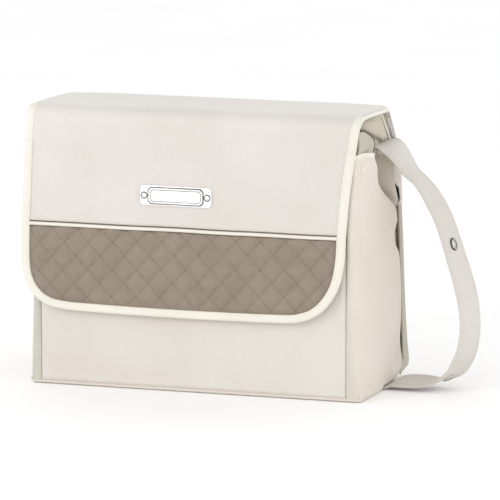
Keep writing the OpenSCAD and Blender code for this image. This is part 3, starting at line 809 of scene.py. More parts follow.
# soft wings that stand up from the side linings: a short one with a rounded corner in front of a long one
WTOP_Y = [-72.6, -70.5, -68, -60, -51.5, -43, -34.5, -27, -21, -17.8, -17.0]
WTOP_Z = [278, 286, 289.5, 290, 288.6, 286.2, 283.0, 279, 274.5, 268.5, 261.5]
for s, nm in ((1, "right"), (-1, "left")):
    Yw, Tw = np.meshgrid(np.linspace(-72.6, -17.0, 70), np.linspace(0, 1, 46), indexing="ij")
    foot = 252 + 9.2 * smooth(Yw, -42, -32)
    Zw = foot + Tw * (np.interp(Yw, WTOP_Y, WTOP_Z) - foot)
    fx = lambda y_, z_: 180.4 + 3.8 * smooth(z_, 257, 274) - 1.2 * smooth(z_, 276, 290) + 0.4 * wob(y_, z_, 40, 3 + s)
    P_ = np.stack([s * fx(Yw, Zw), Yw, Zw], -1)
    front_wing = thick(P_, 1.5, flip=s < 0)
    rim_yz = resample(np.stack([WTOP_Y, WTOP_Z], 1), step=1.2)
    rim_t = unit(np.gradient(rim_yz, axis=0))
    keep_ = rim_yz[:, 0] > -62
    rim_yz, rim_t = rim_yz[keep_], rim_t[keep_]
    rim_o = rim_yz + np.stack([-rim_t[:, 1], rim_t[:, 0]], 1) * 1.0
    rim = np.stack([s * (fx(rim_yz[:, 0], rim_yz[:, 1]) - 1.0), rim_o[:, 0], rim_o[:, 1]], 1)
    Yr, Tr = np.meshgrid(np.linspace(0, 1, 70), np.linspace(0, 1, 60), indexing="ij")
    Zr = 252 + Tr * (299.5 - 252)
    yb2 = back_at(Zr) - 5.8
    k_ = Yr
    Yr = -72 + k_ * (yb2 + 72)
    far = np.interp(Zr, [252, 262, 271, 297, 300], [184, 183.0, 181.4, 173.2, 172.6])
    Xr = 171.5 + (far - 171.5) * k_ ** 4 - 2.0 * np.exp(-((Yr + 24) / 14) ** 2) * smooth(Zr, 256, 270) + 1.2 * wob(Yr, Zr, 55, 8 + s) * np.sin(np.pi * k_)
    P2_ = np.stack([s * Xr, Yr, Zr], -1)
    rear_wing = thick(P2_, 0.9, flip=s < 0)
    V, F = merge([front_wing, rear_wing])
    o = make("side_wing_%s_soft" % nm, V, F, WING_GAP_SHADE, "bag_body", ["side_wing_" + nm])
    # painted shade on the right long wing: along the short wing's outline, in a patch further back, under the flap's
    # edge and towards the front; none on the left
    wing_shade_ = np.zeros(len(V))
    shade_line_ = resample(np.array([(-30, 287.5), (-16.5, 285.0), (-2.5, 280.5), (11.6, 275.5), (24, 270.6), (27, 266), (20, 261)], float), step=1.0)
    n0_ = len(front_wing[0])
    rv_ = V[n0_:]
    dd_ = np.sqrt(((rv_[:, None, 1] - shade_line_[None, :, 0]) * 0.55) ** 2 + (rv_[:, None, 2] - shade_line_[None, :, 1]) ** 2).min(1)
    wing_shade_[n0_:] = np.maximum(np.exp(-(dd_ / 2.6) ** 2), 0.55 * np.exp(-(((rv_[:, 1] - 34) / 12.0) ** 2 + ((rv_[:, 2] - 268.5) / 3.0) ** 2)))
    wing_shade_[n0_:] = np.maximum(wing_shade_[n0_:], 0.5 * smooth(rv_[:, 2], 290, 298) * (1 - smooth(rv_[:, 1], 0, 34)))
    wing_shade_[n0_:] = np.maximum(wing_shade_[n0_:], 0.45 * (1 - smooth(rv_[:, 1], -30, -2)))
    if s < 0:
        wing_shade_[:] = 0
    at_ = o.data.attributes.new("wing_gap_shade", "FLOAT", "POINT")
    at_.data.foreach_set("value", wing_shade_.astype(np.float32))
    # the short wing's faces take the darker copy: painted shade
    o.data.materials.append(WING_FRONT_SHADE)
    nf = len(front_wing[1])
    for f in o.data.polygons[:nf]:
        f.material_index = 1
    # bound edge down the rear of the long wing; thin dark strips on both sides of it and a dark rim along the short
    # one's edge, painted as the shadow lines there
    e_ = resample(P2_[-1, 4:], step=1.2)
    t_ = unit(np.gradient(e_, axis=0))
    out_ = np.broadcast_to(np.array([s * 1.0, -0.6, 0]), e_.shape)
    up_ = unit(np.cross(np.cross(t_, out_), t_))
    sd_ = unit(np.cross(up_, t_))
    V, F = sweep(e_ + up_ * 0.7, sd_, up_, rounded(2.4, 1.6, 0.7, 4))
    make("side_wing_%s_edge" % nm, V, F, BIND, "bag_body", [])
    parts = [sweep(e_ + up_ * 0.45 + sd_ * q_, sd_, up_, rounded(0.8, 0.8, 0.35, 3)) for q_ in (-1.7, 1.7)]
    t2_, sd2_, up2_ = tube_frames(rim, (s * 1.0, 0, 0))
    parts.append(sweep(rim, sd2_, up2_, rounded(2.2, 3.0, 0.9, 3)))
    V, F = merge(parts)
    make("side_wing_%s_seams" % nm, V, F, SHADOW_STRIP_M, "bag_body", [])

# inner pocket: three gathered compartments on the back lining
xs, zs = np.linspace(-120, 120, 181), np.linspace(0, 1, 50)
X, T = np.meshgrid(xs, zs, indexing="ij")
Zp = 44 + T * (172 - 44)
seg = np.abs(((X + 120) % 80) / 80 - 0.5) * 2
bulge = (1 - seg ** 3) * (9.5 * np.sin(np.pi * np.clip(T * 0.85 + 0.12, 0, 1)) + 4.5)
gather = 0.9 * np.sin(X / 80 * 2 * np.pi * 9) * smooth(T, 0.55, 1.0) * (1 - seg ** 6)
Y = back_at(Zp) - 6.6 - bulge - gather - 0.3 * wob(X, Zp, 45, 6)
V, F = thick(np.stack([X, Y, Zp], -1), 0.9, flip=False)
make("inner_pocket_soft", V, F, POCKETM, "bag_body", ["inner_pocket"])
c = np.stack([X[:, -1], Y[:, -1] + 0.4, Zp[:, -1] + 3.6], 1)
t_, sd, up_ = tube_frames(c, (0, 0, 1))
V, F = sweep(c, sd, up_, rounded(2.4, 9.0, 1.1, 4))
make("inner_pocket_elastic_soft", V, F, ELASTIC, "bag_body", ["inner_pocket_elastic"])

# ------------------------------------------------------------------ flap
FLAP_EDGE = [[190, 301.5], [185, 268], [179, 226], [175, 184], [173, 152], [168, 127], [158, 108], [144, 94], [126, 86], [100, 83],
             [0, 82], [-100, 83], [-148, 85], [-170, 91], [-184, 103], [-193, 120], [-196, 142], [-196, 176], [-194, 216], [-192, 260], [-190, 301.5]]
EDGE = curve(FLAP_EDGE, 12)


def curl(x, z):
    """How far the flap's front lies forward of its flat plane, mm: the lower corners and the bottom edge lift a little."""
    a_ = 5.5 * smooth(-x, 110, 200) * (1 - smooth(z, 84, 175))
    b_ = 1.6 * smooth(x, 90, 172) * (1 - smooth(z, 90, 160))
    c_ = 0.7 * (1 - smooth(z, 84, 120)) * (1 - smooth(np.abs(x), 90, 170))
    d_ = 0.8 * np.sin(np.pi * np.clip((z - 180) / 120, 0, 1)) * (1 - smooth(np.abs(x), 120, 190))
    return a_ + b_ + c_ + 0 * d_ + 0.45 * wob(x, z, 180, 0.4) * (1 - smooth(z, 262, 296))


def sag(x, y):
    """How far the flap's top lies below its flat plane, mm."""
    r = 1.1 * smooth(x, 120, 190) * smooth(y, -60, 40) + 1.2 * smooth(-x, 140, 190) * smooth(y, -40, 40)
    r += 1.0 * np.exp(-((x - 30) / 120) ** 2) * np.sin(np.pi * np.clip((y + 78) / 118, 0, 1))
    return r + 0.35 * wob(x, y, 150, 2.2)


# the flap's profile over the top and down the front: depth, height of the outer face
OUT = curve([(47.4, 262), (47.6, 276), (47.6, 288), (46.6, 297), (42.5, 304.2), (35.5, 307.6), (26, 308.3), (8, 308.4), (-20, 308.4), (-50, 308.4), (-70, 308.0), (-80.5, 306.0), (-86.6, 301.0),
             (-89.2, 293.5), (-89.7, 284), (-89.6, 250), (-89.5, 215), (-89.5, 178.5)], 10)
OUT = resample(OUT, step=1.6)
OT = unit(np.gradient(OUT, axis=0))
ON = np.stack([-OT[:, 1], OT[:, 0]], 1)      # outward for a profile that runs front-wards over the top
if ON[len(ON) // 2, 1] < 0:
    ON = -ON


def edge_at(py, pz):
    """Half widths (left, right) of the flap at a profile point."""
    if pz < 301.5 and py < -60:
        r = np.interp(pz, [p_[1] for p_ in FLAP_EDGE[:11]][::-1], [p_[0] for p_ in FLAP_EDGE[:11]][::-1])
        l = np.interp(pz, [p_[1] for p_ in FLAP_EDGE[11:]], [p_[0] for p_ in FLAP_EDGE[11:]])
        return l, r
    # top: the rear corners are pulled in, more on the right; further down the back widens again
    w = float(smooth(pz, 258, 306)) if py > 40 else 1.0
    cr_ = 190.2 - 9.9 * float(smooth(py, 2, 47)) ** 1.3 * w
    cl_ = -190.2 + 5.0 * float(smooth(py, 14, 47)) ** 1.5 * w
    return cl_, cr_


def flap_sheet(i0, i1, depth, inset_, nx=150, wide=False):
    """Grid on the flap's profile between two profile points, that lies depth below the outer face."""
    rows = []
    for i in range(i0, i1 + 1):
        (py, pz), (ny, nz_) = OUT[i], ON[i]
        l, r = edge_at(py, pz)
        ins = inset_ if py < 40 else inset_ + (0.3 - inset_) * float(smooth(ny, 0.55, 0.95)) if wide else inset_
        xs_ = np.linspace(l + ins, r - ins, nx)
        y = py - ny * depth + 0 * xs_
        z = pz - nz_ * depth + 0 * xs_
        top_w = float(smooth(-abs(ny), -0.95, -0.2))
        z = z - sag(xs_, py) * top_w * (1 if py < 44 else 0.6)
        if py < -60:
            y = y - curl(xs_, pz) * (1 - float(smooth(pz, 280, 300)))
        rows.append(np.stack([xs_, y, z], 1))
    return np.array(rows)


def first(cond):
    return next(i for i, p_ in enumerate(OUT) if cond(p_))


i_mid = first(lambda p_: p_[0] < -20)
i_rear = 0
n_out = len(OUT) - 1

REAR = flap_sheet(i_rear, i_mid, 0, 4.6, wide=True)
# the rear fold narrows a little where it is sewn to the back
for i in range(len(REAR)):
    k = 1 - float(smooth(OUT[i][1], 268, 300)) if OUT[i][0] > 40 else 0.0
    REAR[i, :, 0] *= np.where(REAR[i, :, 0] > 0, 1 - 0.003 * k, 1 - 0.02 * k)
V, F = thick(REAR, 1.7, flip=False)
rear = make("flap_rear_and_hinge_soft", V, F, IVORY, None, ["hinge_fold", "flap_top_panel"])
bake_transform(rear)

FRONT = flap_sheet(i_mid, n_out, 0, 4.6)
V, F = thick(FRONT, 1.7, flip=False)
front = make("flap_front_soft", V, F, IVORY, None, ["flap_front_panel"])
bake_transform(front)

# lining under the top and over the crease
i_l0 = first(lambda p_: p_[0] < 43)
LREAR = flap_sheet(i_l0, i_mid, 4.2, 4.6, 110)
V, F = thick(LREAR, 0.8, flip=False)
o = make("flap_top_lining_soft", V, F, LINING, None, ["flap_top_lining"])
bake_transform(o)
i_l1 = first(lambda p_: p_[0] < -60 and p_[1] < 181)
LFR = flap_sheet(i_mid, i_l1, 4.4, 4.6, 110)
V, F = thick(LFR, 0.8, flip=False)
o = make("flap_crease_lining_soft", V, F, LINING, None, [])
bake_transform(o)

# stiffeners of the flap, cut to the soft outline
def inside_edge(x, z, d):
    l = np.interp(z, [82, 91, 103, 120, 142, 176, 216, 260, 301.5], [-100, -170, -184, -193, -196, -196, -194, -192, -190]) + d
    r = np.interp(z, [82, 86, 94, 108, 127, 152, 184, 226, 268, 301.5], [100, 126, 144, 158, 168, 173, 175, 179, 185, 190]) - d
    return l, r


def outline_inset(d):
    """The flap's front outline in (x, z), moved in by d, from the top right round the bottom to the top left."""
    t = unit(np.gradient(EDGE, axis=0))
    n_ = np.stack([t[:, 1], -t[:, 0]], 1)
    P = EDGE + n_ * d
    return P


def lower_sheet(d, z_top, nx=150, nz=80, bow=0.0):
    """A grid that fills the flap's lower part below z_top, inset by d from its outline."""
    P = outline_inset(d)
    k = int(np.argmin(P[:, 1]))
    right = P[:k + 1]
    left = P[k:]
    zmin = P[:, 1].min()
    # bottom curve height as a function of x, and the side limits by height
    tt = np.linspace(0, 1, nz) ** 1.0
    rows = []
    for t in tt:
        z = zmin + 0.02 + (z_top - zmin - 0.02) * t
        r = np.interp(z, right[::-1, 1], right[::-1, 0])
        l = np.interp(z, left[:, 1], left[:, 0])
        rows.append(np.stack([np.linspace(l, r, nx), np.full(nx, z)], 1))
    return np.array(rows)


L2 = lower_sheet(5.0, 182.5, 130, 60)
X, Z = L2[..., 0], L2[..., 1]
P = np.stack([X, -84.9 - curl(X, Z), Z], -1)
V, F = thick(P, 0.8, flip=True)
o = make("flap_front_lining_soft", V, F, LINING, "flap_front", ["flap_front_lining"])
S2 = lower_sheet(7.0, 300.0, 100, 90)
X, Z = S2[..., 0], S2[..., 1]
P = np.stack([X, -87.0 - curl(X, Z), Z], -1)
P = P[:-6]
V, F = thick(P, 1.3, flip=True)
o = make("flap_stiffener_soft", V, F, BOARD, "flap_front", ["flap_stiffener"])
i_s0, i_s1 = first(lambda p_: p_[0] < 38), first(lambda p_: p_[0] < -76)
TS = flap_sheet(i_s0, i_s1, 2.0, 8.0, 90)
V, F = thick(TS, 1.2, flip=False)
o = make("flap_top_stiffener_soft", V, F, BOARD, "flap_top", ["flap_top_stiffener"])

# quilted panel
A1, A2, O2 = np.array([13.5, -14.3]), np.array([14.7, 15.8]), np.array([-6.5, 135.7])
INV = np.linalg.inv(np.stack([A1, A2], 1))
QS = lower_sheet(5.4, 179.0, 331, 92)
X, Z = QS[..., 0], QS[..., 1]


def quilt_pq(X, Z):
    wx = 0.35 * wob(X, Z, 70, 1.0)
    wz = 0.35 * wob(X, Z, 64, 2.0)
    p_ = INV[0, 0] * (X + wx - O2[0]) + INV[0, 1] * (Z + wz - O2[1])
    q_ = INV[1, 0] * (X + wx - O2[0]) + INV[1, 1] * (Z + wz - O2[1])
    return p_, q_


def edge_dist(X, Z):
    """Distance inside the binding's inner edge, mm; 0 beneath the binding."""
    P_ = resample(outline_inset(9.0), step=1.5)
    t_ = unit(np.gradient(P_, axis=0))
    n_ = np.stack([t_[:, 1], -t_[:, 0]], 1)
    d = np.full(X.shape, 1e9)
    sg = np.zeros(X.shape)
    for (x_, z_), (nx_, nz2) in zip(P_, n_):
        e_ = np.hypot(X - x_, Z - z_)
        hit = e_ < d
        d = np.where(hit, e_, d)
        sg = np.where(hit, (X - x_) * nx_ + (Z - z_) * nz2, sg)
    return np.maximum(np.where(sg > 0, d, 0), 0)


def quilt_h(X, Z):
    p_, q_ = quilt_pq(X, Z)
    sp, sq = np.abs(np.sin(np.pi * p_)), np.abs(np.sin(np.pi * q_))
    h = (sp * sq) ** 0.55
    rim = smooth(edge_dist(X, Z), 0.5, 7.5) * (1 - 0.8 * smooth(Z, 172.5, 177.5))
    cell = 0.86 + 0.14 * np.sin(np.floor(p_) * 2.1 + np.floor(q_) * 3.7)
    return 3.9 * h * cell * (0.25 + 0.75 * rim), rim


H, RIM = quilt_h(X, Z)
Y = -88.2 - H - 0.25 * RIM - curl(X, Z)
P = np.stack([X, Y, Z], -1)
V, F = thick(P, 1.1, flip=True)
quilt = make("flap_quilted_panel_soft", V, F, QUILT, "flap_front", ["flap_quilted_panel"], angle=0)

# quilting stitches, sunk in the grooves
rows = []
Pin = outline_inset(9.4)
kk = int(np.argmin(Pin[:, 1]))
for fam in (0, 1):
    for c_ in range(-40, 41):
        t = np.linspace(-45, 45, 1800)
        pq = np.stack([np.full_like(t, c_), t], 1) if fam == 0 else np.stack([t, np.full_like(t, c_)], 1)
        xz = O2 + pq @ np.stack([A1, A2], 0)
        xz = xz - np.stack([0.35 * wob(xz[:, 0], xz[:, 1], 70, 1.0), 0.35 * wob(xz[:, 0], xz[:, 1], 64, 2.0)], 1)
        r = np.interp(xz[:, 1], Pin[:kk + 1][::-1, 1], Pin[:kk + 1][::-1, 0])
        l = np.interp(xz[:, 1], Pin[kk:, 1], Pin[kk:, 0])
        ok = (xz[:, 1] > Pin[kk, 1] + 0.6) & (xz[:, 1] < 174.5) & (xz[:, 0] < r - 0.8) & (xz[:, 0] > l + 0.8)
        if ok.sum() < 40:
            continue
        seg = xz[ok]
        seg = resample(seg, step=1.2)
        h_, rim_ = quilt_h(seg[:, 0], seg[:, 1])
        y = -88.2 - 0.25 * rim_ - curl(seg[:, 0], seg[:, 1]) - 0.30
        rows.append((np.stack([seg[:, 0], y, seg[:, 1]], 1), (0, -1, 0)))
stitch_obj("quilting_stitch", rows, THREAD_T, "flap_front", pitch=3.1, length=2.3, r=0.30)

# piping between the quilt and the leatherette, with dark strips above and below it painted as the shadow of the seam it
# is sewn into
xs = np.linspace(-187.0, 166.0, 200)
parts = []
for dz_, hh in ((2.55, 1.5), (-2.35, 1.2)):
    zq = 178 + dz_ + 0.35 * wob(xs, xs * 0, 90, 3.3)
    cc = np.stack([xs, -89.35 - curl(xs, zq) - 0.45, zq], 1)
    t_, sd, up_ = tube_frames(cc, (0, 0, 1))
    parts.append(sweep(cc, sd, up_, rounded(0.9, hh, 0.4, 3)))
V, F = merge(parts)
make("flap_piping_shadow_strips", V, F, SHADOW_STRIP_M, "flap_front", [])
# the piping
xs = np.linspace(-187.5, 166.5, 230)
zp = 178 + 0.35 * wob(xs, xs * 0, 90, 3.3)
c = np.stack([xs, -90.1 - curl(xs, zp) + 0.15 * wob(xs, xs * 0, 60, 1.3), zp], 1)
t_, sd, up_ = tube_frames(c, (0, 0, 1))
ring = np.array([(1.95 * math.cos(q), 1.95 * math.sin(q)) for q in np.linspace(0, 2 * math.pi, 16, endpoint=False)])
V, F = sweep(c, sd, up_, ring)
make("flap_piping_soft", V, F, BIND, "flap_front", ["flap_piping"])
stitch_obj("flap_seam_stitch", [(np.stack([xs, -89.75 - curl(xs, zp), zp + 4.6], 1), (0, -1, 0))], THREAD, "flap_front")

# ------------------------------------------------------------------ flap edge binding
def edge_path():
    """The flap's two side edges from the rear over the top and down to where the front part begins, as (point, outward
    direction in the sheet, sheet normal), one list each per side.
    """
    pts, outs, nors = [], [], []
    top = []
    for y in np.linspace(45.0, -78, 78):
        l, r = edge_at(y, 308)
        top.append((r, y))
    k_corner = [i for i, p_ in enumerate(OUT) if p_[0] < -60 and p_[1] > 268]
    for side in (1, -1):
        P_, O_, N_ = [], [], []
        for i in range(first(lambda p_: p_[0] < 45.2 and p_[1] > 290), n_out + 1):
            (py, pz), (ny, nz_) = OUT[i], ON[i]
            if py < -60 and pz < 268:
                break
            l, r = edge_at(py, pz)
            x = r if side > 0 else l
            top_w = float(smooth(-abs(ny), -0.95, -0.2))
            z = pz - float(sag(x - side * 4, py)) * top_w * (1 if py < 44 else 0.6)
            y = py - (float(curl(x - side * 4, pz)) * (1 - float(smooth(pz, 280, 300))) if py < -60 else 0)
            d = 2.6
            P_.append((x, y - ny * d, z - nz_ * d))
            N_.append((0, ny, nz_))
            O_.append((side, 0, 0))
        P_, N_, O_ = np.array(P_), unit(np.array(N_)), np.array(O_, float)
        pts.append(P_), outs.append(O_), nors.append(N_)
    return pts, outs, nors


def binding_section(w, h, w_out=2.7, dent=0.22):
    """Closed outline, u across (0 at the outer edge, minus w at the inner edge), v through the thickness."""
    pts = []
    for q in np.radians(np.linspace(-90, 90, 9)):
        pts.append((-w_out + w_out * math.cos(q), h / 2 * math.sin(q)))
    for u, dv in ((-w + 3.0, 0), (-w + 2.3, -dent), (-w + 1.6, 0), (-w + 0.5, -0.15), (-w, -0.75)):
        pts.append((u, h / 2 + dv))
    for u, dv in ((-w, -0.75), (-w + 0.5, -0.15), (-w + 1.6, 0), (-w + 2.3, -dent), (-w + 3.0, 0)):
        pts.append((u, -h / 2 - dv))
    return np.array(pts)


pts, outs, nors = edge_path()
parts, rows = [], []
for P_, O_, N_ in zip(pts, outs, nors):
    t = unit(np.gradient(P_, axis=0))
    O_ = unit(O_ - t * (O_ * t).sum(1, keepdims=True))
    N_ = unit(N_ - t * (N_ * t).sum(1, keepdims=True) - O_ * (N_ * O_).sum(1, keepdims=True))
    g = smooth(P_[:, 1] * -1, 60, 86)
    h = 3.9 + 3.3 * g
    sec = np.array([binding_section(9.0, hh) for hh in h])
    sec[..., 1] += -0.2
    parts.append(sweep(P_, O_, N_, sec))
    rows.append((P_ - O_ * 6.7 + N_ * (h[:, None] / 2 - 0.42), N_))
    rows.append((P_ - O_ * 6.7 - N_ * (h[:, None] / 2 + 0.0), -N_))
# the front part: down the right side, round the bottom and up the left
E2 = resample(EDGE, step=2.0)
E2 = E2[(E2[:, 1] < 270.0)]
t = unit(np.gradient(E2, axis=0))
o2 = np.stack([-t[:, 1], t[:, 0]], 1)
C = np.stack([E2[:, 0], -87.75 - curl(E2[:, 0] - 4 * o2[:, 0], E2[:, 1] - 4 * o2[:, 1]), E2[:, 1]], 1)
O3 = np.stack([o2[:, 0], 0 * t[:, 0], o2[:, 1]], 1)
T3 = unit(np.gradient(C, axis=0))
O3 = unit(O3 - T3 * (O3 * T3).sum(1, keepdims=True))
N3 = unit(np.cross(O3, T3))
if N3[0, 1] > 0:
    N3 = -N3
h3 = 7.4 + 0.3 * wob(E2[:, 0], E2[:, 1], 60, 1.2)
sec = np.array([binding_section(9.4, hh) for hh in h3])
wv = sweep(C, O3, N3, sec)
V, F = merge(parts)
o = make("flap_top_binding_soft", V, F, BIND, None, ["flap_top_binding"], angle=60)
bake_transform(o)
o = make("flap_front_binding_soft", wv[0], wv[1], BIND, "flap_front", ["flap_front_binding"], angle=60)
parts2 = [x for x in (stitches(p_, n_) for p_, n_ in rows) if x]
V, F = merge(parts2)
o = make("flap_top_binding_stitch", V, F, THREAD, None, angle=0)
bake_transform(o)
stitch_obj("flap_front_binding_stitch", [(C - O3 * 7.1 + N3 * (h3[:, None] / 2 - 0.2), N3), (C - O3 * 7.1 - N3 * (h3[:, None] / 2 - 0.2), -N3)], THREAD, "flap_front")

# ------------------------------------------------------------------ shoulder strap
ROUTE = [[192.8, 19, 263.9, 17], [197.6, 19.2, 259.7, 14.5], [203.9, 20.1, 251.3, 10.2], [212.3, 21, 238.7, 5.6], [224.1, 23, 227.1, 3.8], [236.1, 26, 209.8, 8.4], [248.6, 28, 185.2, 9.5], [261.8, 30, 145.4, 12], [273.3, 31, 106.2, 14.3], [277.7, 31, 73.8, 14], [275.1, 30, 46.4, 16], [268, 28, 28.1, 17], [259.3, 26, 17.4, 13], [243.7, 24, 9.8, 1], [227.7, 23, 8.2, -8], [209, 23, 7.6, -9], [201, 24, 7, -6], [196.4, 24.5, 5.5, -3], [192.8, 24.5, 3.3, -0.5], [189.4, 24.5, 2.0, 0], [185, 24.5, 1.65, 0], [150, 24.5, 1.55, 0], [60, 24.8, 1.5, 0], [-60, 25, 1.5, 0], [-150, 25, 1.5, 0], [-180, 25, 1.5, 0], [-187, 25, 1.5, 0], [-192, 25, 2.7, 0], [-194.4, 25, 6.5, 0], [-194.8, 25, 12, 0],
         [-194.8, 24.5, 40, 0], [-194.8, 22, 140, 0], [-194.8, 19, 264, 0]]
SP = resample(curve(ROUTE, 14), step=1.8)
SPATH = SP[:, :3]
ST = unit(np.gradient(SPATH, axis=0))
w0 = np.array([0, -1.0, 0])
W = unit(w0 - ST * (ST @ w0)[:, None])
Nn = unit(np.cross(ST, W))
ang = np.radians(SP[:, 3])[:, None]
SA = np.cos(ang) * W + np.sin(ang) * Nn          # across the strap
SO = unit(np.cross(SA, ST))                      # away from its outer face
SW = 42.0


def strap_section(w, h, r=1.25):
    """Two leatherette layers round a core: full edges, a shallow sewn groove along both sides."""
    pts = []
    us = np.concatenate([np.linspace(-w / 2 + 1.5, w / 2 - 1.5, 31)])

    def face(u):
        a_ = np.minimum(np.abs(u - (w / 2 - 4.2)), np.abs(u + (w / 2 - 4.2)))
        edge_ = smooth(w / 2 - np.abs(u), 0.0, 2.2)
        return h / 2 - 0.40 * np.exp(-(a_ / 0.9) ** 2) + 0.10 * (1 - (2 * u / w) ** 2) - 0.35 * (1 - edge_)
    for u in us:
        pts.append((u, -face(u)))
    for q in np.radians(np.linspace(-60, 60, 5)):
        pts.append((w / 2 - 1.3 + 1.3 * math.cos(q), (h / 2 - 0.35) * math.sin(q) / 0.95))
    for u in us[::-1]:
        pts.append((u, face(u)))
    for q in np.radians(np.linspace(120, 240, 5)):
        pts.append((-w / 2 + 1.3 + 1.3 * math.cos(q), (h / 2 - 0.35) * math.sin(q) / 0.95))
    return np.array(pts)


V, F = sweep(SPATH, SA, SO, strap_section(SW, 2.9))
make("shoulder_strap_soft", V, F, STRAPM, "strap", ["shoulder_strap"], angle=50)
rows = []
for sgn in (-1, 1):
    for face_ in (-1, 1):
        rows.append((SPATH[4:-4] + SA[4:-4] * sgn * (SW / 2 - 4.2) + SO[4:-4] * face_ * (1.45 - 0.12), SO[4:-4] * face_))
stitch_obj("shoulder_strap_stitch", rows, THREAD, "strap", pitch=3.6, length=2.6, r=0.30)


def lathe(profile, n=48):
    V, F = [], []
    for r, z in profile:
        for k in range(n):
            q = 2 * math.pi * k / n
            V.append((r * math.cos(q), r * math.sin(q), z))
    for i in range(len(profile) - 1):
        for k in range(n):
            l = (k + 1) % n
            F.append((i * n + k, i * n + l, (i + 1) * n + l, (i + 1) * n + k))
    F.append(tuple(range(n))[::-1])
    F.append(tuple((len(profile) - 1) * n + k for k in range(n)))
    return np.array(V), F


def place(VF, p, o, a):
    V, F = VF
    o, a = unit(o), unit(a)
    b = np.cross(o, a)
    return np.asarray(p) + V[:, :1] * a + V[:, 1:2] * b + V[:, 2:] * o, F


def arc(r0, z0, r1, z1, n=4, bulge=0.25):
    out = []
    for k in range(n + 1):
        t = k / n
        out.append((r0 + (r1 - r0) * t, z0 + (z1 - z0) * t + bulge * math.sin(math.pi * t) * abs(r1 - r0)))
    return out


RING = [(7.0, -0.1), (7.05, 0.35), (6.85, 0.95), (6.45, 1.45), (5.9, 1.7), (5.3, 1.6), (4.9, 1.25), (4.75, 0.8), (4.4, 0.62), (3.6, 0.75), (2.4, 1.0), (1.0, 1.1), (0.2, 1.12)]
SOCK = [(6.6, -0.1), (6.65, 0.5), (6.4, 1.05), (5.8, 1.35), (3.9, 1.4), (3.5, 1.5), (3.3, 2.0), (3.0, 2.3), (2.2, 2.35), (2.0, 1.7), (1.6, 1.2), (0.2, 1.15)]
P_cad = curve(ROUTE, 3)
caps, socks = [], []
for i in (20, 37):
    k = int(np.argmin(np.linalg.norm(SPATH - P_cad[i, :3], axis=1)))
    caps.append(place(lathe(RING), SPATH[k] + SO[k] * 1.5, SO[k], SA[k]))
    socks.append(place(lathe(SOCK), SPATH[k] - SO[k] * 1.5, -SO[k], SA[k]))
V, F = merge(caps)
o = make("strap_snap_rings", V, F, NICKEL, "strap", ["strap_snap_caps"], angle=60)
# the first cap's outer rim and inner groove wall take the dark metal: painted shade
o.data.materials.append(SHADE_METAL)
for f in o.data.polygons:
    if f.index < 12 * 48 and f.index // 48 in (0, 1, 2, 3, 6, 7):
        f.material_index = 1
V, F = merge(socks)
make("strap_snap_backs", V, F, NICKEL, "strap", ["strap_snap_sockets"], angle=60)

# the strap's ends, sewn inside each gusset and turned over its rim
for s, nm in ((1, "right"), (-1, "left")):
    G = GR if s > 0 else GL
    col = G[:, :, 1]
    xw = float(np.interp(19, G[-1, 13:-8, 1], np.abs(G[-1, 13:-8, 0])))
    xe = 193.2 if s > 0 else 192.5
    rt = [(xw - 4.6, 19, 222), (xw - 4.4, 19, 240), (xw - 4.4, 19, 257), (xw - 3.6, 19, 262.5), (xw - 0.8, 19, 265.2), (xw + 3.5, 19, 266.3), ((xw + xe) / 2, 19, 266.7), (xe - 6, 19, 266.3), (xe - 3, 19, 265.3), (xe, 19, 263.6)] if s > 0 else [(xw - 4.6, 19, 222), (xw - 4.4, 19, 240), (xw - 4.4, 19, 257), (xw - 3.6, 19, 262.5), (xw - 0.8, 19, 265.2), (xw + 3.5, 19, 265.9), ((xw + xe) / 2, 19, 265.2), (xe - 3, 19, 264.2), (xe, 19, 263.7)]
    rt = resample(curve(rt, 10), step=1.2)
    rt[:, 0] *= s
    t = unit(np.gradient(rt, axis=0))
    wv_ = np.broadcast_to(np.array([0, -1.0, 0]), rt.shape)
    wv_ = unit(wv_ - t * (wv_ * t).sum(1, keepdims=True))
    tw = np.radians(17.0 * smooth(np.abs(rt[:, 0]), xw + 1, 193.0))[:, None] * (1 if s > 0 else 0)
    ac = np.cos(tw) * wv_ + np.sin(tw) * unit(np.cross(t, wv_))
    up = unit(np.cross(ac, t))
    V, F = sweep(rt, ac, up, strap_section(SW, 2.9))
    make("strap_root_" + nm, V, F, STRAPM, "bag_body", ["strap_anchor_" + nm], angle=50)
    rows = []
    for sgn in (-1, 1):
        for face_ in (-1, 1):
            rows.append((rt[:-7] + ac[:-7] * sgn * (SW / 2 - 4.2) + up[:-7] * face_ * 1.33, up[:-7] * face_))
    stitch_obj("strap_root_stitch_" + nm, rows, THREAD, "bag_body")

# gusset studs
parts = []
STUD = [(4.5, -0.2), (4.55, 0.5), (4.3, 1.0), (3.7, 1.25), (3.0, 1.3), (2.6, 1.4), (2.4, 1.9), (2.0, 2.3), (1.2, 2.4), (0.2, 2.42)]
for G, s in ((GR, 1), (GL, -1)):
    d = np.hypot(G[..., 1] + 58, G[..., 2] - 249.5)
    i, j = np.unravel_index(np.argmin(d), d.shape)
    n_ = grid_normals(G, s > 0)[i, j]
    parts.append(place(lathe(STUD, 40), G[i, j] + n_ * 0.05, n_, (0, 0, 1)))
V, F = merge(parts)
make("gusset_studs", V, F, ENAMEL, "bag_body", ["gusset_snaps"], angle=60)

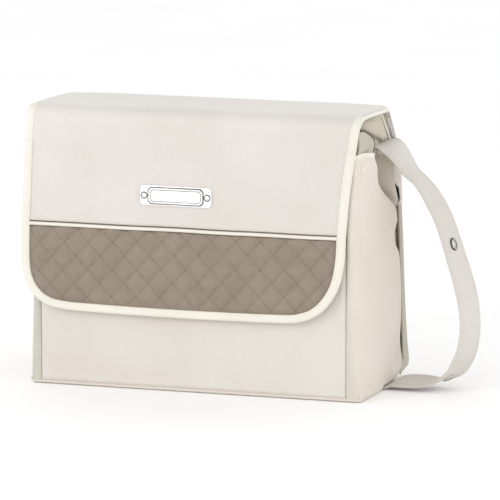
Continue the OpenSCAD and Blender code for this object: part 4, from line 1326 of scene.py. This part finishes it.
# magnets: domed discs with a pressed rim
DISC = [(9.0, -0.2), (9.05, 0.5), (8.8, 1.05), (8.2, 1.4), (7.2, 1.5), (6.6, 1.3), (4.0, 1.25), (3.1, 1.35), (2.6, 1.0), (2.4, 0.5), (0.2, 0.45)]
parts = [place(lathe(DISC), (x_, float(front_y(x_, 112)) + 0.05, 112), (0, -1, 0), (1, 0, 0)) for x_ in (-118, 96)]
V, F = merge(parts)
make("body_magnet_discs", V, F, NICKEL, "bag_body", ["body_magnets"], angle=60)
DISC2 = [(9.0, -0.2), (9.05, 0.3), (8.7, 0.75), (8.0, 0.95), (3.0, 1.0), (2.6, 1.2), (2.3, 1.5), (0.2, 1.55)]
parts = [place(lathe(DISC2), (x_, -84.1 - float(curl(x_, 112)), 112), (0, 1, 0), (1, 0, 0)) for x_ in (-118, 96)]
V, F = merge(parts)
make("flap_magnet_discs", V, F, NICKEL, "flap_front", ["flap_magnets"], angle=60)

# ------------------------------------------------------------------ nameplate, blank
PX, PZ = -17.0, 215.0
PY = -89.75


def octagon(w, h, c, n=3):
    return [(w / 2, h / 2 - c), (w / 2 - c, h / 2), (-w / 2 + c, h / 2), (-w / 2, h / 2 - c), (-w / 2, -h / 2 + c), (-w / 2 + c, -h / 2), (w / 2 - c, -h / 2), (w / 2, -h / 2 + c)]


def round_poly(pts, r=0.8, n=4, step=2.5):
    pts = [np.array(p_, float) for p_ in pts]
    out = []
    m = len(pts)
    for i in range(m):
        a_, b_, c_ = pts[i - 1], pts[i], pts[(i + 1) % m]
        u1, u2 = unit(a_ - b_), unit(c_ - b_)
        p0, p1 = b_ + u1 * r, b_ + u2 * r
        for k in range(n + 1):
            t = k / n
            out.append((1 - t) ** 2 * p0 + 2 * t * (1 - t) * b_ + t * t * p1)
    return np.array(out)


def stack(loops):
    """Joins rings of the same length, ((x, z) points, height), and caps the last."""
    V, F = [], []
    m = len(loops[0][0])
    for pts_, y in loops:
        V += [(p_[0], y, p_[1]) for p_ in pts_]
    for i in range(len(loops) - 1):
        for k in range(m):
            l = (k + 1) % m
            F.append((i * m + k, i * m + l, (i + 1) * m + l, (i + 1) * m + k))
    F.append(tuple(range(m)))
    F.append(tuple((len(loops) - 1) * m + k for k in range(m))[::-1])
    return np.array(V, float), [f[::-1] for f in F]


def inset_loop(w, h, c, d, r=0.8):
    k = d * (2 - math.sqrt(2)) / 1.0
    return round_poly(octagon(w - 2 * d, h - 2 * d, max(c - k * 0.6, 0.4)), r)


def plate_loop(w, h, c, d, y, r=0.8):
    L_ = inset_loop(w, h, c, d, r)
    return (L_ + np.array([PX, PZ]), y)


base_ = [plate_loop(82, 22, 3, 0.0, PY + 0.2), plate_loop(82, 22, 3, 0.0, PY - 1.0), plate_loop(82, 22, 3, 0.12, PY - 1.35), plate_loop(82, 22, 3, 0.45, PY - 1.6),
         plate_loop(82, 22, 3, 1.5, PY - 1.68), plate_loop(82, 22, 3, 1.8, PY - 1.5), plate_loop(82, 22, 3, 2.1, PY - 1.5)]
frame_ = [plate_loop(62, 17, 3, 0.0, PY - 1.4), plate_loop(62, 17, 3, 0.0, PY - 2.2), plate_loop(62, 17, 3, 0.25, PY - 2.5), plate_loop(62, 17, 3, 0.7, PY - 2.62),
          plate_loop(62, 17, 3, 1.5, PY - 2.55), plate_loop(62, 17, 3, 2.0, PY - 2.1), plate_loop(62, 17, 3, 2.3, PY - 1.75), plate_loop(62, 17, 3, 2.7, PY - 1.7)]
V, F = merge([stack(base_), stack(frame_)])
plate = make("nameplate_blank", V, F, CHROME, "flap_front", ["nameplate"], angle=50)
def ring_band(w, h, c, d0, d1, y0, y1, r=0.8):
    """A flat closed band between two inset outlines."""
    lo_a, _ = plate_loop(w, h, c, d0, 0, r)
    lo_b, _ = plate_loop(w, h, c, d1, 0, r)
    m_ = len(lo_a)
    V_ = [(p_[0], y0, p_[1]) for p_ in lo_a] + [(p_[0], y1, p_[1]) for p_ in lo_a] + [(p_[0], y1, p_[1]) for p_ in lo_b] + [(p_[0], y0, p_[1]) for p_ in lo_b]
    F_ = []
    for k in range(m_):
        l = (k + 1) % m_
        for a0, b0 in ((0, 1), (1, 2), (2, 3), (3, 0)):
            F_.append((a0 * m_ + k, a0 * m_ + l, b0 * m_ + l, b0 * m_ + k))
    return np.array(V_, float), F_


def round_band(cx, ra, rb, y0, y1, n=36):
    """A flat closed round band."""
    V_, F_ = [], []
    for r_, y_ in ((ra, y0), (ra, y1), (rb, y1), (rb, y0)):
        V_ += [(PX + cx + r_ * math.cos(2 * math.pi * k / n), y_, PZ + r_ * math.sin(2 * math.pi * k / n)) for k in range(n)]
    for k in range(n):
        l = (k + 1) % n
        for a0, b0 in ((0, 1), (1, 2), (2, 3), (3, 0)):
            F_.append((a0 * n + k, a0 * n + l, b0 * n + l, b0 * n + k))
    return np.array(V_, float), F_


# painted shade: dark bands round the plate's inner frame and round each rivet head, where the crevices fall into shade
V, F = merge([ring_band(62, 17, 3, -0.95, -0.05, PY - 1.4, PY - 1.74), ring_band(62, 17, 3, 2.0, 2.6, PY - 1.5, PY - 1.95),
              round_band(-36.0, 3.9, 2.95, PY - 1.4, PY - 1.72), round_band(36.0, 3.9, 2.95, PY - 1.4, PY - 1.72)])
make("nameplate_shadow_lines", V, F, SHADE_METAL, "flap_front", [], angle=50)
RIV = [(2.9, -0.1), (3.0, 0.25), (2.85, 0.6), (2.4, 0.95), (1.7, 1.2), (0.9, 1.32), (0.15, 1.35)]
parts = [place(lathe(RIV, 36), (PX + s * 36.0, PY - 1.55, PZ), (0, -1, 0), (1, 0, 0)) for s in (-1, 1)]
V, F = merge(parts)
make("nameplate_rivet_heads", V, F, CHROME, "flap_front", ["nameplate_rivets"], angle=60)

# ------------------------------------------------------------------ what is left of the CAD gets its material
CADM = {"front_stiffener": BOARD, "back_stiffener": BOARD, "base_board": BOARD, "flap_stiffener": BOARD, "flap_top_stiffener": BOARD}
for name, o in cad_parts.items():
    if o.hide_render:
        continue
    m = CADM.get(name)
    o.data.materials.clear()
    o.data.materials.append(m or IVORY)

# ------------------------------------------------------------------ stage: pale floor, soft light
me = bpy.data.meshes.new("floor")
S = 14.0
me.from_pydata([(-S, -S, 0), (S, -S, 0), (S, S, 0), (-S, S, 0)], [], [(0, 1, 2, 3)])
me.update()
floor = bpy.data.objects.new("floor", me)
bpy.context.collection.objects.link(floor)
floor.location.z = -0.0003
m, nt, b = new_mat("pale_floor")
tc = N(nt, "ShaderNodeTexCoord")
nz_ = N(nt, "ShaderNodeTexNoise", Scale=3.0, Detail=3.0)
nt.links.new(tc.outputs["Object"], nz_.inputs["Vector"])
col = ramp(nt, nz_.outputs["Fac"], [(0.3, (0.975, 0.975, 0.975)), (0.7, (0.99, 0.99, 0.99))])
nt.links.new(col.outputs["Color"], b.inputs["Base Color"])
b.inputs["Roughness"].default_value = 0.75
b.inputs["Specular IOR Level"].default_value = 0.2
me.materials.append(m)

world = bpy.data.worlds.new("world")
bpy.context.scene.world = world
world.use_nodes = True
bg = world.node_tree.nodes["Background"]
wt = world.node_tree
wc_ = wt.nodes.new("ShaderNodeTexCoord")
wx_ = wt.nodes.new("ShaderNodeSeparateXYZ")
wt.links.new(wc_.outputs["Generated"], wx_.inputs[0])
wr_ = ramp(wt, wx_.outputs["Z"], [(0.0, (1.0, 1.0, 1.0)), (0.22, (1.0, 1.0, 1.0)), (0.75, (0.66, 0.66, 0.66)), (1.0, (0.57, 0.57, 0.57))])
wt.links.new(wr_.outputs["Color"], bg.inputs["Color"])
bg.inputs["Strength"].default_value = 1.37


def area(name, loc, target, size, power, color=(1, 1, 1)):
    ld = bpy.data.lights.new(name, "AREA")
    ld.shape = "RECTANGLE"
    ld.size, ld.size_y = size
    ld.energy = power
    ld.color = color
    lo_ = bpy.data.objects.new(name, ld)
    lo_.location = loc
    lo_.rotation_mode = "QUATERNION"
    lo_.rotation_quaternion = (Vector(target) - Vector(loc)).to_track_quat("-Z", "Y")
    bpy.context.collection.objects.link(lo_)
    return lo_


area("key", (-1.3, -2.0, 1.15), (0, 0, 0.12), (0.8, 0.8), 10.5)
area("fill", (1.9, -0.9, 0.8), (0, 0, 0.14), (1.2, 1.0), 4.6)

bpy.context.scene.view_settings.view_transform = "Standard"
